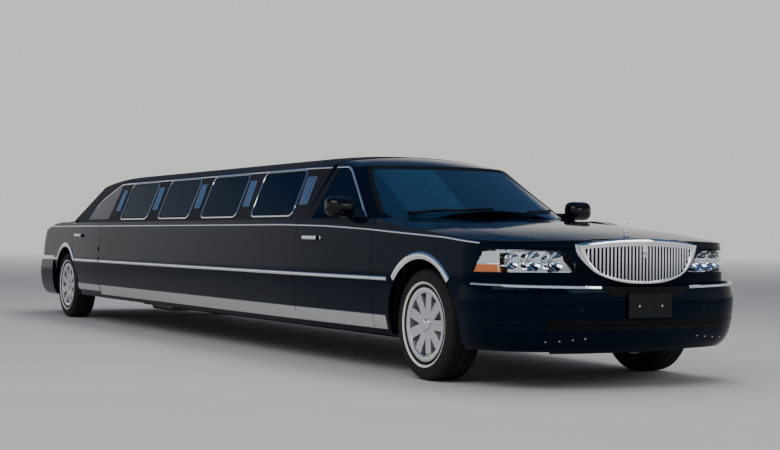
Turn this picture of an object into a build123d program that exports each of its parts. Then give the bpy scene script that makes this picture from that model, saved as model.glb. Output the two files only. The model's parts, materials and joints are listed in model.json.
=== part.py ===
"""Stretch limousine: a long four-door saloon with four extra windows each side, built as separate panels."""
import os
from math import asin, atan2, cos, degrees, pi, radians, sin, sqrt

from build123d import *

# Driving dimensions, millimetres. +X is forward, +Y is left, +Z is up, and the ground is Z = 0.
WHEELBASE = 7562.0
FRONT_OVERHANG = 1060.0
REAR_OVERHANG = 1421.0
TYRE_RADIUS = 344.0
TYRE_WIDTH = 225.0
RIM_RADIUS = 216.0
FRONT_TRACK = 1610.0
REAR_TRACK = 1666.0
PANEL_GAP = 5.0
BELT_Z = 1005.0
SILL_Z = 256.0
ROOF_Z = 1497.0
RAIL_Z = 1400.0

LENGTH = FRONT_OVERHANG + WHEELBASE + REAR_OVERHANG
FRONT_X = LENGTH / 2 - FRONT_OVERHANG
REAR_X = FRONT_X - WHEELBASE
HALF_GAP = PANEL_GAP / 2

# Lower body: one row per height. The widths are half widths.
WAIST_HALF_WIDTH = 993.0
NOSE_X = FRONT_X + 958.0
TAIL_X = REAR_X - 1368.0
NOSE_BOW = 236.0
TAIL_BOW = 168.0
NOSE_CORNER_R = 420.0
TAIL_CORNER_R = 430.0
TAPER_R = 30000.0
TAPER_START_X = FRONT_X - 1735.0
REAR_TAPER_X = REAR_X + 900.0
NOSE_NARROWING = 68.0
TAIL_NARROWING = 60.0
BODY_TOP_Z = 1070.0
# Columns: height, waist half width less this, nose set back, tail set forward.
BODY_ROWS = (
    (236.0, 58.0, 30.0, 150.0),
    (390.0, 18.0, 8.0, 60.0),
    (620.0, 0.0, 0.0, 0.0),
    (830.0, 9.0, 0.0, 26.0),
    (960.0, 28.0, 22.0, 70.0),
    (BODY_TOP_Z, 62.0, 60.0, 150.0),
)

# Bumpers. Columns: height, half width less this, set back at both ends.
BUMPER_NOSE = 1045.0
BUMPER_HALF_WIDTH = 1011.0
BUMPER_BOW = 205.0
BUMPER_CORNER_R = 450.0
BUMPER_TOP_Z = 606.0
BUMPER_WALL = 45.0
BUMPER_ROWS = (
    (228.0, 62.0, 70.0),
    (300.0, 22.0, 24.0),
    (420.0, 4.0, 4.0),
    (540.0, 2.0, 0.0),
    (BUMPER_TOP_Z, 12.0, 12.0),
)

# Top of the hood and front fenders. Columns: X from the front axle, then heights at centre, middle and edge.
HOOD_ROWS = (
    (-1000.0, 1046.0, 1036.0, 1003.0),
    (-300.0, 1000.0, 985.0, 945.0),
    (400.0, 945.0, 926.0, 885.0),
    (1000.0, 868.0, 842.0, 795.0),
)
# Top of the trunk and rear quarters. Columns: X from the rear axle, then the same heights.
DECK_ROWS = (
    (-1540.0, 930.0, 890.0, 640.0),
    (-1240.0, 990.0, 962.0, 800.0),
    (-890.0, 1030.0, 1012.0, 920.0),
    (-490.0, 1044.0, 1034.0, 995.0),
    (-40.0, 1050.0, 1042.0, 1006.0),
    (420.0, 1052.0, 1044.0, 1008.0),
)
CROWN_MID_Y = 600.0
CROWN_EDGE_Y = 930.0

# Cabin glasshouse, given at two heights. Columns: height, nose centre X, nose corner X, nose corner half
# width, X where the straight side starts, its half width, X where it ends, rear corner X, rear corner half
# width, rear centre X.
GLASSHOUSE_ROWS = (
    (1000.0, FRONT_X - 477.0, FRONT_X - 916.0, 800.0, FRONT_X - 1720.0, 905.0,
     REAR_X + 1400.0, REAR_X - 318.0, 800.0, REAR_X - 430.0),
    (1400.0, FRONT_X - 1266.0, FRONT_X - 1490.0, 622.0, FRONT_X - 1900.0, 722.0,
     REAR_X + 1500.0, REAR_X + 350.0, 622.0, REAR_X + 262.0),
)
GLASSHOUSE_BEND_R = 1500.0
PILLAR_DEPTH = 46.0
GLASS_DEPTH = 12.0
ROOF_CROWN_FRONT_X = FRONT_X - 2150.0
ROOF_CROWN_REAR_X = REAR_X + 1260.0
ROOF_FRONT_R = 3900.0
ROOF_REAR_R = 7350.0
ROOF_EDGE_Y = 800.0
ROOF_MID_Y = 540.0
ROOF_MID_DROP = 36.0
ROOF_EDGE_DROP = 150.0
CABIN_HALF_WIDTH = 862.0
CABIN_FRONT_X = FRONT_X - 420.0
CABIN_REAR_X = REAR_X - 300.0

SHEET = 35.0
BUMPER_CUT = 470.0
COWL_HALF_WIDTH = 808.0
WALL_INNER_Y = 600.0
GRILLE_BARS = 27
GRILLE_PITCH = 24.5
GRILLE_BAR_WIDTH = 9.0
SPOKES = 9
KNUCKLE_Y = 700.0
KNUCKLE_HEIGHT = 250.0
SEAT_CLEARANCE = 0.3
FLOOR_Z = 310.0
REAR_FLOOR_Z = 560.0
TUNNEL_HALF_WIDTH = 140.0
TUNNEL_TOP_Z = 430.0
ENGINE_Z = 300.0
RAIL_OUTER_Y = 475.0
RAIL_INNER_Y = 390.0
EXHAUST_Y = 250.0
EXHAUST_RADIUS = 30.0
PARTITION_X = FRONT_X - 1900.0
DRIVER_Y = 400.0
PLATE_HOLE_SPACING = 178.0
PLATE_HOLE_RADIUS = 3.5
PLATE_HOLE_Z = 530.0
PLATE_RECESS = 14.0
# Side view of a frame rail: its lower edge forward, then its upper edge back.
RAIL_PATH = [
    (REAR_X - 1200, 420), (REAR_X - 620, 420), (REAR_X - 380, 480), (REAR_X + 240, 480), (REAR_X + 450, 200),
    (FRONT_X - 800, 200), (FRONT_X - 560, 260), (FRONT_X + 900, 300),
    (FRONT_X + 900, 390), (FRONT_X - 470, 290), (FRONT_X - 800, 290), (REAR_X + 494, 290),
    (REAR_X + 310, 540), (REAR_X - 380, 540), (REAR_X - 620, 540), (REAR_X - 1200, 540),
]
CROSSMEMBERS = (
    (REAR_X - 1150, 440), (REAR_X + 900, 210), (-600, 210), (1200, 210), (FRONT_X - 900, 210), (FRONT_X + 840, 310),
)
# Exhaust pipe from the engine to the tail: distance along, then height.
EXHAUST_ROUTE = (
    (FRONT_X - 1300, 180), (REAR_X + 470, 180), (REAR_X + 280, 440), (REAR_X - 330, 440), (REAR_X - 620, 250),
    (REAR_X - 1290, 250),
)
CABIN_TOP_Z = 975.0
AXLE_HOLE_RADIUS = 60.0
# Small hinge pins fill the shut line on a hinge's axis, a running gap clear of the lid or door.
PIN_RADIUS = 2.2
HINGE_PIN_HEIGHTS = (640.0, 740.0)
HINGE_TAB = 6.0
TRUNK_HINGE_Z = 1046.0

# Doors. The rear edge of each door is an arc about its own hinge, so that it clears the panel behind.
FRONT_DOOR_X = FRONT_X - 610.0
FRONT_DOOR_LENGTH = 1125.0
REAR_DOOR_X = REAR_X + 1240.0
REAR_DOOR_LENGTH = 985.0
HINGE_OUTSET = 3.0
PANEL_FRONT_X = FRONT_DOOR_X - FRONT_DOOR_LENGTH + 45.0
DOOR_FLOOR_Z = SILL_Z
ARCH_RADIUS = 410.0
ARCH_CUT_Z = TYRE_RADIUS - 7.0
ARCH_DOOR_MARGIN = 62.0

# Side windows of the stretch. Columns: front lower corner X from the front axle.
WINDOW_FRONTS = (-1999.0, -3072.0, -4133.0, -5202.0)
WINDOW_LENGTH = 755.0
WINDOW_LOW_Z = 1037.0
WINDOW_HIGH_Z = 1372.0
WINDOW_LEAN = 42.0
WINDOW_CORNER_R = 55.0


def block(x0, x1, y0, y1, z0, z1):
    """A box between two corners."""
    middle = Pos((x0 + x1) / 2, (y0 + y1) / 2, (z0 + z1) / 2)
    return middle * Box(abs(x1 - x0), abs(y1 - y0), abs(z1 - z0))


def side_prism(points, y0, y1, corner_r=0.0, grow=0.0):
    """A shape drawn from the side as (x, z) points, grown if asked, carried across from y0 to y1."""
    face = Face(Wire.make_polygon([(x, z, 0) for x, z in points], close=True))
    if grow:
        face = offset(face, grow, kind=Kind.INTERSECTION).faces()[0]
    solid = extrude(face, amount=y1 - y0, dir=(0, 0, 1))
    if corner_r:
        solid = fillet(solid.edges().filter_by(Axis.Z), corner_r)
    return Pos(0, y1, 0) * Rot(90, 0, 0) * solid


def front_prism(points, x0, x1, corner_r=0.0):
    """A shape drawn from the front as (y, z) points, carried along from x0 to x1."""
    face = Face(Wire.make_polygon([(x0, y, z) for y, z in points], close=True))
    solid = extrude(face, amount=x1 - x0, dir=(1, 0, 0))
    if corner_r:
        solid = fillet(solid.edges().filter_by(Axis.X), corner_r)
    return solid


def cross_cylinder(x, z, radius, y0, y1):
    """A cylinder across the car."""
    return Pos(x, (y0 + y1) / 2, z) * Rot(90, 0, 0) * Cylinder(radius, abs(y1 - y0))


def both_sides(solid):
    """The right-hand solid and its mirror image."""
    return [solid, mirror(solid, Plane.XZ)]


def solids_of(shape):
    """The solids of a shape, largest first, without slivers."""
    found = shape.solids() if not isinstance(shape, (list, tuple)) else [s for p in shape for s in p.solids()]
    return sorted([s for s in found if s.volume > 500.0], key=lambda s: -s.volume)


def plan_face(z, half_mid, nose_x, tail_x, inset=0.0, nose_bow=NOSE_BOW, nose_r=NOSE_CORNER_R):
    """The body's outline seen from above at one height, with rounded corners."""
    half_nose = half_mid - NOSE_NARROWING
    half_tail = half_mid - TAIL_NARROWING
    nose_corner = nose_x - nose_bow - inset
    tail_corner = tail_x + TAIL_BOW + inset
    mid, nose, tail = half_mid - inset, half_nose - inset, half_tail - inset
    right = [(tail_corner, -tail), (REAR_TAPER_X, -mid), (TAPER_START_X, -mid), (nose_corner, -nose)]
    left = [(x, -y) for x, y in reversed(right)]
    edges = [Edge.make_line((*a, z), (*b, z)) for a, b in zip(right, right[1:])]
    edges.append(Edge.make_three_point_arc((*right[-1], z), (nose_x - inset, 0, z), (*left[0], z)))
    edges += [Edge.make_line((*a, z), (*b, z)) for a, b in zip(left, left[1:])]
    edges.append(Edge.make_three_point_arc((*left[-1], z), (tail_x + inset, 0, z), (*right[0], z)))
    face = Face(Wire(edges))
    by_x = face.vertices().sort_by(Axis.X)
    face = face.fillet_2d(nose_r - inset * 0.6, by_x[-2:])
    by_x = face.vertices().sort_by(Axis.X)
    face = face.fillet_2d(TAIL_CORNER_R - inset * 0.6, by_x[:2])
    bends = [v for v in face.vertices() if min(abs(v.X - REAR_TAPER_X), abs(v.X - TAPER_START_X)) < 1.0]
    return face.fillet_2d(TAPER_R, bends)


def body_loft(inset=0.0):
    """The whole lower body, as if solid, from sill to above the belt."""
    faces = []
    for z, narrower, back, forward in BODY_ROWS:
        mid = WAIST_HALF_WIDTH - narrower
        faces.append(plan_face(z, mid, NOSE_X - back, TAIL_X + forward, inset))
    return loft(faces)


def bumper_loft(inset=0.0, lower=0.0):
    """Both bumpers' outer form, as if one solid ran the whole length between them."""
    faces = []
    for z, narrower, back in BUMPER_ROWS:
        mid = BUMPER_HALF_WIDTH - narrower
        tail = REAR_X - REAR_OVERHANG + back
        nose = FRONT_X + BUMPER_NOSE - back
        faces.append(plan_face(z - lower, mid, nose, tail, inset, BUMPER_BOW, BUMPER_CORNER_R))
    return loft(faces)


def crown_face(x, centre_z, mid_z, edge_z, bottom_z):
    """A cross-section whose top is one shallow arc with a tangent shoulder arc each side."""
    drop = centre_z - mid_z
    radius = (CROWN_MID_Y**2 + drop**2) / (2 * drop)
    slope = asin(CROWN_MID_Y / radius)
    chord = atan2(mid_z - edge_z, CROWN_EDGE_Y - CROWN_MID_Y)
    end_slope = 2 * chord - slope
    reach = 260.0
    out_y = CROWN_EDGE_Y + reach * cos(end_slope)
    out_z = edge_z - reach * sin(end_slope)
    right = [
        Edge.make_line((x, -out_y, bottom_z), (x, -out_y, out_z)),
        Edge.make_line((x, -out_y, out_z), (x, -CROWN_EDGE_Y, edge_z)),
        Edge.make_tangent_arc((x, -CROWN_EDGE_Y, edge_z), (0, cos(end_slope), sin(end_slope)), (x, -CROWN_MID_Y, mid_z)),
    ]
    top = Edge.make_three_point_arc((x, -CROWN_MID_Y, mid_z), (x, 0, centre_z), (x, CROWN_MID_Y, mid_z))
    left = [
        Edge.make_tangent_arc((x, CROWN_MID_Y, mid_z), (0, cos(slope), -sin(slope)), (x, CROWN_EDGE_Y, edge_z)),
        Edge.make_line((x, CROWN_EDGE_Y, edge_z), (x, out_y, out_z)),
        Edge.make_line((x, out_y, out_z), (x, out_y, bottom_z)),
        Edge.make_line((x, out_y, bottom_z), (x, -out_y, bottom_z)),
    ]
    return Face(Wire(right + [top] + left))


def crown_loft(rows, axle_x, bottom_z=150.0):
    """Everything under a crowned top surface given by rows along the car."""
    return loft([crown_face(axle_x + x, c, m, e, bottom_z) for x, c, m, e in rows])


def glasshouse_face(z, inset):
    """The cabin's outline above the belt, seen from above at one height."""
    low, high = GLASSHOUSE_ROWS
    share = (z - low[0]) / (high[0] - low[0])
    row = [a + (b - a) * share for a, b in zip(low, high)]
    _, nose, nose_corner, nose_half, side_front, side, side_rear, rear_corner, rear_half, rear = row
    nose, nose_corner = nose - inset * 1.6, nose_corner - inset * 1.6
    rear, rear_corner = rear + inset * 1.6, rear_corner + inset * 1.6
    side_front, side_rear = side_front - inset * 1.6, side_rear + inset * 1.6
    nose_half, side, rear_half = nose_half - inset, side - inset, rear_half - inset
    right = [
        (rear_corner, -rear_half),
        (side_rear, -side),
        (side_front, -side),
        (nose_corner, -nose_half),
    ]
    left = [(x, -y) for x, y in reversed(right)]
    edges = [Edge.make_line((*a, z), (*b, z)) for a, b in zip(right, right[1:])]
    edges.append(Edge.make_three_point_arc((*right[-1], z), (nose, 0, z), (*left[0], z)))
    edges += [Edge.make_line((*a, z), (*b, z)) for a, b in zip(left, left[1:])]
    edges.append(Edge.make_three_point_arc((*left[-1], z), (rear, 0, z), (*right[0], z)))
    face = Face(Wire(edges))
    bends = [v for v in face.vertices() if min(abs(v.X - side_front), abs(v.X - side_rear)) < 1.0]
    return face.fillet_2d(GLASSHOUSE_BEND_R, bends)


def roof_under(drop):
    """Everything under the crowned roof, lowered by drop."""
    top = ROOF_Z - drop
    x = ROOF_CROWN_FRONT_X
    radius = (ROOF_MID_Y**2 + ROOF_MID_DROP**2) / (2 * ROOF_MID_DROP)
    slope = asin(ROOF_MID_Y / radius)
    edge_z, mid_z = top - ROOF_EDGE_DROP, top - ROOF_MID_DROP
    chord = atan2(mid_z - edge_z, ROOF_EDGE_Y - ROOF_MID_Y)
    end_slope = 2 * chord - slope
    out_y = ROOF_EDGE_Y + 220 * cos(end_slope)
    out_z = edge_z - 220 * sin(end_slope)
    bottom_z = 850.0
    edges = [
        Edge.make_line((x, -out_y, bottom_z), (x, -out_y, out_z)),
        Edge.make_line((x, -out_y, out_z), (x, -ROOF_EDGE_Y, edge_z)),
        Edge.make_tangent_arc((x, -ROOF_EDGE_Y, edge_z), (0, cos(end_slope), sin(end_slope)), (x, -ROOF_MID_Y, mid_z)),
        Edge.make_three_point_arc((x, -ROOF_MID_Y, mid_z), (x, 0, top), (x, ROOF_MID_Y, mid_z)),
        Edge.make_tangent_arc((x, ROOF_MID_Y, mid_z), (0, cos(slope), -sin(slope)), (x, ROOF_EDGE_Y, edge_z)),
        Edge.make_line((x, ROOF_EDGE_Y, edge_z), (x, out_y, out_z)),
        Edge.make_line((x, out_y, out_z), (x, out_y, bottom_z)),
        Edge.make_line((x, out_y, bottom_z), (x, -out_y, bottom_z)),
    ]
    section = Face(Wire(edges))
    span = ROOF_CROWN_FRONT_X - ROOF_CROWN_REAR_X
    middle = extrude(section, amount=span, dir=(-1, 0, 0))
    front_axis = Axis((x, 0, ROOF_Z - ROOF_FRONT_R), (0, 1, 0))
    front = revolve(section, front_axis, revolution_arc=24)
    rear_section = Pos(-span, 0, 0) * section
    rear_axis = Axis((ROOF_CROWN_REAR_X, 0, ROOF_Z - ROOF_REAR_R), (0, -1, 0))
    rear = revolve(rear_section, rear_axis, revolution_arc=16)
    return middle + front + rear


def glasshouse(inset=0.0, base_z=990.0):
    """The cabin above the belt, as if solid."""
    return loft([glasshouse_face(base_z, inset), glasshouse_face(ROOF_Z + 8, inset)], ruled=True) & roof_under(inset)


def keep(shape):
    """The shape as a compound of its real solids."""
    return Compound(children=solids_of(shape))


def right_half(shape):
    """The part of a shape on the right side."""
    return shape & block(-LENGTH, LENGTH, -1300, 0, -10, 2000)


def pair(shape):
    """The right half of a shape and its mirror image as one node."""
    half = keep(right_half(shape))
    return Compound(children=solids_of(half) + solids_of(mirror(half, Plane.XZ)))


below_belt = block(-LENGTH, LENGTH, -1200, 1200, 0, BELT_Z)
above_belt = block(-LENGTH, LENGTH, -1200, 1200, BELT_Z, 1700)

body = body_loft()
body_inner = body_loft(SHEET)
hood_top = crown_loft(HOOD_ROWS, FRONT_X)
deck_top = crown_loft(DECK_ROWS, REAR_X)
house = glasshouse()
cabin_upper = glasshouse(PILLAR_DEPTH, CABIN_TOP_Z - 15)
house_under_glass = glasshouse(GLASS_DEPTH, 988.0)
cabin_box = block(CABIN_REAR_X, CABIN_FRONT_X, -CABIN_HALF_WIDTH, CABIN_HALF_WIDTH, 0, CABIN_TOP_Z)
bumpers = bumper_loft()
bumpers_inner = bumper_loft(BUMPER_WALL, BUMPER_WALL / 2)

# Walls: the lower wall as thick as a door, and the upper wall as thick as a window frame.
lower_wall = (body & below_belt) - cabin_box - cabin_upper
upper_wall = (house & above_belt) - cabin_upper
glass_sheet = (house & above_belt) - house_under_glass

front_arch = cross_cylinder(FRONT_X, ARCH_CUT_Z, ARCH_RADIUS, -1100, 1100)
rear_arch = cross_cylinder(REAR_X, ARCH_CUT_Z, ARCH_RADIUS, -1100, 1100)
rear_arch_rim = cross_cylinder(REAR_X, ARCH_CUT_Z, ARCH_RADIUS + ARCH_DOOR_MARGIN, -1100, 1100)

HINGE_Y = -(WAIST_HALF_WIDTH + HINGE_OUTSET)

FRONT_DOOR_OUTLINE = [
    (FRONT_DOOR_X, DOOR_FLOOR_Z),
    (FRONT_DOOR_X, BELT_Z + 1),
    (FRONT_X - 936, BELT_Z + 1),
    (FRONT_X - 1470, 1370),
    (FRONT_X - 1545, RAIL_Z),
    (FRONT_DOOR_X - FRONT_DOOR_LENGTH - 60, RAIL_Z),
    (FRONT_DOOR_X - FRONT_DOOR_LENGTH - 60, DOOR_FLOOR_Z),
]
# The rear door's outline about its hinge line: distance from the hinge, then height.
REAR_DOOR_SWING = [
    (-200, DOOR_FLOOR_Z),
    (REAR_DOOR_LENGTH, DOOR_FLOOR_Z),
    (REAR_DOOR_LENGTH, 1060),
    (888, 1200),
    (673, 1300),
    (318, RAIL_Z),
    (-200, RAIL_Z),
]


def front_door_zone(grow):
    """The space of the right front door, grown or shrunk from its shut lines."""
    outline = side_prism(FRONT_DOOR_OUTLINE, -1200, -WALL_INNER_Y, 0, grow)
    sweep_disc = Pos(FRONT_DOOR_X, HINGE_Y, 900) * Cylinder(FRONT_DOOR_LENGTH + grow, 1600)
    cowl = block(FRONT_X - 2000, FRONT_X, grow - COWL_HALF_WIDTH, 0, 0, BELT_Z + 1 - grow)
    return (outline & sweep_disc) - cowl


def rear_door_zone(grow):
    """The space of the right rear door: turned about its hinge line, so that it swings clear of the pillar."""
    outline = Face(Wire.make_polygon([(r, 0, z) for r, z in REAR_DOOR_SWING], close=True))
    if grow:
        outline = offset(outline, grow).faces()[0]
    outline = outline & Face(Wire.make_polygon([(0, 0, 0), (2000, 0, 0), (2000, 0, 2000), (0, 0, 2000)], close=True))
    swept = Pos(REAR_DOOR_X, HINGE_Y, 0) * revolve(outline, Axis.Z)
    space = block(REAR_X, REAR_DOOR_X + grow, -1200, -WALL_INNER_Y, DOOR_FLOOR_Z - grow, RAIL_Z + grow)
    rim = cross_cylinder(REAR_X, ARCH_CUT_Z, ARCH_RADIUS + ARCH_DOOR_MARGIN - grow, -1100, 0)
    return (space & swept) - rim


def glass_openings(points_list, corner_r, y0=-1100.0, y1=-400.0):
    """Rounded window shapes through the right side."""
    return [side_prism(points, y0, y1, corner_r) for points in points_list]


STRETCH_WINDOWS = []
for lower_front in WINDOW_FRONTS:
    x1 = FRONT_X + lower_front
    x0 = x1 - WINDOW_LENGTH
    corners = [(x0, WINDOW_LOW_Z), (x1, WINDOW_LOW_Z), (x1 - WINDOW_LEAN, WINDOW_HIGH_Z), (x0 - WINDOW_LEAN, WINDOW_HIGH_Z)]
    STRETCH_WINDOWS.append(corners)
FRONT_DOOR_WINDOW = [
    (FRONT_X - 1655, WINDOW_LOW_Z),
    (FRONT_X - 1032, WINDOW_LOW_Z),
    (FRONT_X - 1505, 1362),
    (FRONT_X - 1522, WINDOW_HIGH_Z),
    (FRONT_X - 1640, WINDOW_HIGH_Z),
]
REAR_DOOR_WINDOW = [
    (REAR_X + 330, WINDOW_LOW_Z),
    (REAR_DOOR_X - 60, WINDOW_LOW_Z),
    (REAR_DOOR_X - 60 - WINDOW_LEAN, WINDOW_HIGH_Z - 6),
    (REAR_X + 1060, WINDOW_HIGH_Z - 6),
    (REAR_X + 640, 1268),
    (REAR_X + 430, 1176),
]
stretch_openings = glass_openings(STRETCH_WINDOWS, WINDOW_CORNER_R)
front_door_opening = glass_openings([FRONT_DOOR_WINDOW], 26.0)
rear_door_opening = glass_openings([REAR_DOOR_WINDOW], 26.0)


def windshield_zone():
    """The windshield opening, drawn from the front."""
    points = [(-742, 1014), (742, 1014), (566, 1376), (-566, 1376)]
    return front_prism(points, FRONT_X - 1600, FRONT_X, 45.0)


def backlight_zone():
    """The rear window opening, drawn from the front."""
    points = [(-700, 1060), (700, 1060), (560, 1392), (-560, 1392)]
    return front_prism(points, REAR_X - 700, REAR_X + 340, 60.0)


def make_doors():
    """Four doors with window frames, and their glass."""
    nodes = {}
    wall = right_half(lower_wall) + right_half(upper_wall)
    front = (wall & front_door_zone(-HALF_GAP)) - front_door_opening[0]
    rear = (wall & rear_door_zone(-HALF_GAP)) - rear_door_opening[0]
    inner_step = cross_cylinder(REAR_X, ARCH_CUT_Z, ARCH_RADIUS + ARCH_DOOR_MARGIN + 30, -945, 0)
    rear = rear - inner_step
    for pin_z in HINGE_PIN_HEIGHTS:
        tab_x = REAR_DOOR_X - HALF_GAP
        rear = rear + block(tab_x - HINGE_TAB, tab_x, HINGE_Y, HINGE_Y + 10, pin_z - 20, pin_z + 20)
    sheet = right_half(glass_sheet)
    for name, door, opening in (("front", front, front_door_opening), ("rear", rear, rear_door_opening)):
        door = keep(door)
        glass = keep(sheet & opening[0])
        nodes[f"{name}_door_right"] = door
        nodes[f"{name}_door_left"] = mirror(door, Plane.XZ)
        nodes[f"{name}_door_glass_right"] = glass
        nodes[f"{name}_door_glass_left"] = mirror(glass, Plane.XZ)
    return nodes


def hinge_pin(z):
    """A pin on the rear door's hinge line, joined to the panel ahead of it."""
    pin = Pos(REAR_DOOR_X, HINGE_Y, z) * Cylinder(PIN_RADIUS, 40)
    web = block(REAR_DOOR_X + 0.5, REAR_DOOR_X + 2 * HALF_GAP, HINGE_Y, HINGE_Y + 8, z - 20, z + 20)
    return pin + web


def make_side_panels():
    """The long panels between the doors, with four windows each, and the glass."""
    zone = block(REAR_DOOR_X + HALF_GAP, PANEL_FRONT_X, -1200, -WALL_INNER_Y, SILL_Z, RAIL_Z) - front_door_zone(HALF_GAP)
    panel = (right_half(lower_wall) + right_half(upper_wall)) & zone
    sheet = right_half(glass_sheet)
    panes = []
    for opening in stretch_openings:
        panel = panel - opening
        panes += solids_of(sheet & opening)
    for pin_z in HINGE_PIN_HEIGHTS:
        panel = panel + hinge_pin(pin_z)
    return {
        "side_panels": pair(Compound(children=solids_of(panel)[:1])),
        "side_glass": pair(Compound(children=panes)),
    }


def make_roof():
    """Roof with its windshield and rear pillars, and the front and rear glass."""
    zone_cut = front_door_zone(HALF_GAP) + rear_door_zone(HALF_GAP)
    panel_cut = block(REAR_DOOR_X - 1, PANEL_FRONT_X, -1200, -WALL_INNER_Y, 0, RAIL_Z)
    cut = zone_cut + panel_cut
    shell = upper_wall - cut - mirror(cut, Plane.XZ)
    front, back = windshield_zone(), backlight_zone()
    return {
        "roof": keep(shell - front - back),
        "windshield": keep(glass_sheet & front),
        "rear_window": keep(glass_sheet & back),
    }


LAMP_OUTLINE_SIDE = [
    (FRONT_X + 560, 682),
    (FRONT_X + 627, 818),
    (FRONT_X + 1100, 806),
    (FRONT_X + 1100, 682),
]
LAMP_OUTLINE_FRONT = [(-384, 670), (-432, 830), (-1000, 830), (-1000, 670)]
GRILLE_OUTLINE = [
    (-345, 846), (-322, 868), (0, 876), (322, 868), (345, 846), (356, 770), (330, 694),
    (262, 645), (140, 621), (0, 616), (-140, 621), (-262, 645), (-330, 694), (-356, 770),
]
HOOD_SIDE_REAR_Y = 785.0
HOOD_SIDE_FRONT_Y = 705.0
HOOD_REAR_X = FRONT_X - 385.0
HOOD_CORNER_X = FRONT_X - 640.0
HOOD_FRONT_X = FRONT_X + 990.0
HOOD_LOW_Z = 822.0
HOOD_THICK = 26.0
LID_HALF_WIDTH = 660.0
LID_FRONT_X = REAR_X - 520.0
LID_LOW_Z = 694.0


def hood_zone(grow):
    """The hood's outline from above: curved behind like the windshield, tapering forward."""
    rear, corner, front = HOOD_REAR_X - grow, HOOD_CORNER_X - grow, HOOD_FRONT_X + grow
    back_y, front_y = HOOD_SIDE_REAR_Y + grow, HOOD_SIDE_FRONT_Y + grow
    z = HOOD_LOW_Z - grow
    edges = [
        Edge.make_line((corner, -back_y, z), (front, -front_y, z)),
        Edge.make_line((front, -front_y, z), (front, front_y, z)),
        Edge.make_line((front, front_y, z), (corner, back_y, z)),
        Edge.make_three_point_arc((corner, back_y, z), (rear, 0, z), (corner, -back_y, z)),
    ]
    return extrude(Face(Wire(edges)), amount=400, dir=(0, 0, 1))


def lid_zone(grow):
    """The trunk lid's outline: straight sides, with its rear face down to the bumper."""
    half = LID_HALF_WIDTH + grow
    return block(-LENGTH, LID_FRONT_X + grow, -half, half, LID_LOW_Z - grow, 1300)


def grille_prism(grow, x0, x1):
    """The grille's outline carried fore and aft."""
    face = Face(Wire.make_polygon([(y, z, 0) for y, z in GRILLE_OUTLINE], close=True))
    if grow:
        face = offset(face, grow).faces()[0]
    solid = extrude(face, amount=x1 - x0, dir=(0, 0, 1))
    return Pos(x0, 0, 0) * Rot(0, 0, 90) * Rot(90, 0, 0) * solid


def lamp_zone():
    """The right headlamp's space in the nose."""
    side = side_prism(LAMP_OUTLINE_SIDE, -1100, -300)
    return side & front_prism(LAMP_OUTLINE_FRONT, FRONT_X + 400, FRONT_X + 1200)


def tail_lamp_zone():
    """The right tail lamp's space at the rear corner."""
    points = [(REAR_X - 1030, 716), (REAR_X - 960, 880), (REAR_X - 1500, 880), (REAR_X - 1500, 716)]
    return side_prism(points, -1100, -(LID_HALF_WIDTH + 22))


def make_front():
    """Front fenders, nose panel, hood and headlamps."""
    hollow = body_inner & (Pos(0, 0, -HOOD_THICK) * hood_top)
    outer = body & hood_top
    ahead = block(FRONT_DOOR_X + HALF_GAP, LENGTH, -1200, 1200, SILL_Z, 1200)
    cowl_y = COWL_HALF_WIDTH - HALF_GAP
    ahead = ahead + block(FRONT_X - 940, FRONT_DOOR_X + 10, -cowl_y, cowl_y, 900, 1200)
    shell = (outer & ahead) - hollow - front_arch
    hood = keep((shell & hood_zone(-HALF_GAP)) - grille_prism(9, FRONT_X + 700, FRONT_X + 1200))
    rest = shell - hood_zone(HALF_GAP) - house
    bumper_space = block(FRONT_X + BUMPER_CUT, LENGTH, -1200, 1200, 0, BUMPER_TOP_Z)
    rest = rest - bumper_space - cabin_box - cabin_upper
    lamp = lamp_zone()
    nose_cut = block(FRONT_X + BUMPER_CUT, LENGTH, -1200, 1200, BUMPER_TOP_Z, HOOD_LOW_Z + 4)
    nose = (rest & nose_cut) - lamp - mirror(lamp, Plane.XZ) - grille_prism(0, FRONT_X + 700, FRONT_X + 1200)
    fenders = (rest - nose_cut) - lamp - mirror(lamp, Plane.XZ) - grille_prism(0, FRONT_X + 700, FRONT_X + 1200)
    lens_inner = body_loft(8.0)
    lens = (body & lamp) - lens_inner
    back = (body_loft(10.0) & lamp) - body_loft(110.0)
    return {
        "hood": hood,
        "front_fenders": keep(fenders),
        "nose_panel": keep(nose),
        "headlamp_lenses": pair(lens),
        "headlamp_reflectors": pair(back),
    }


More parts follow.
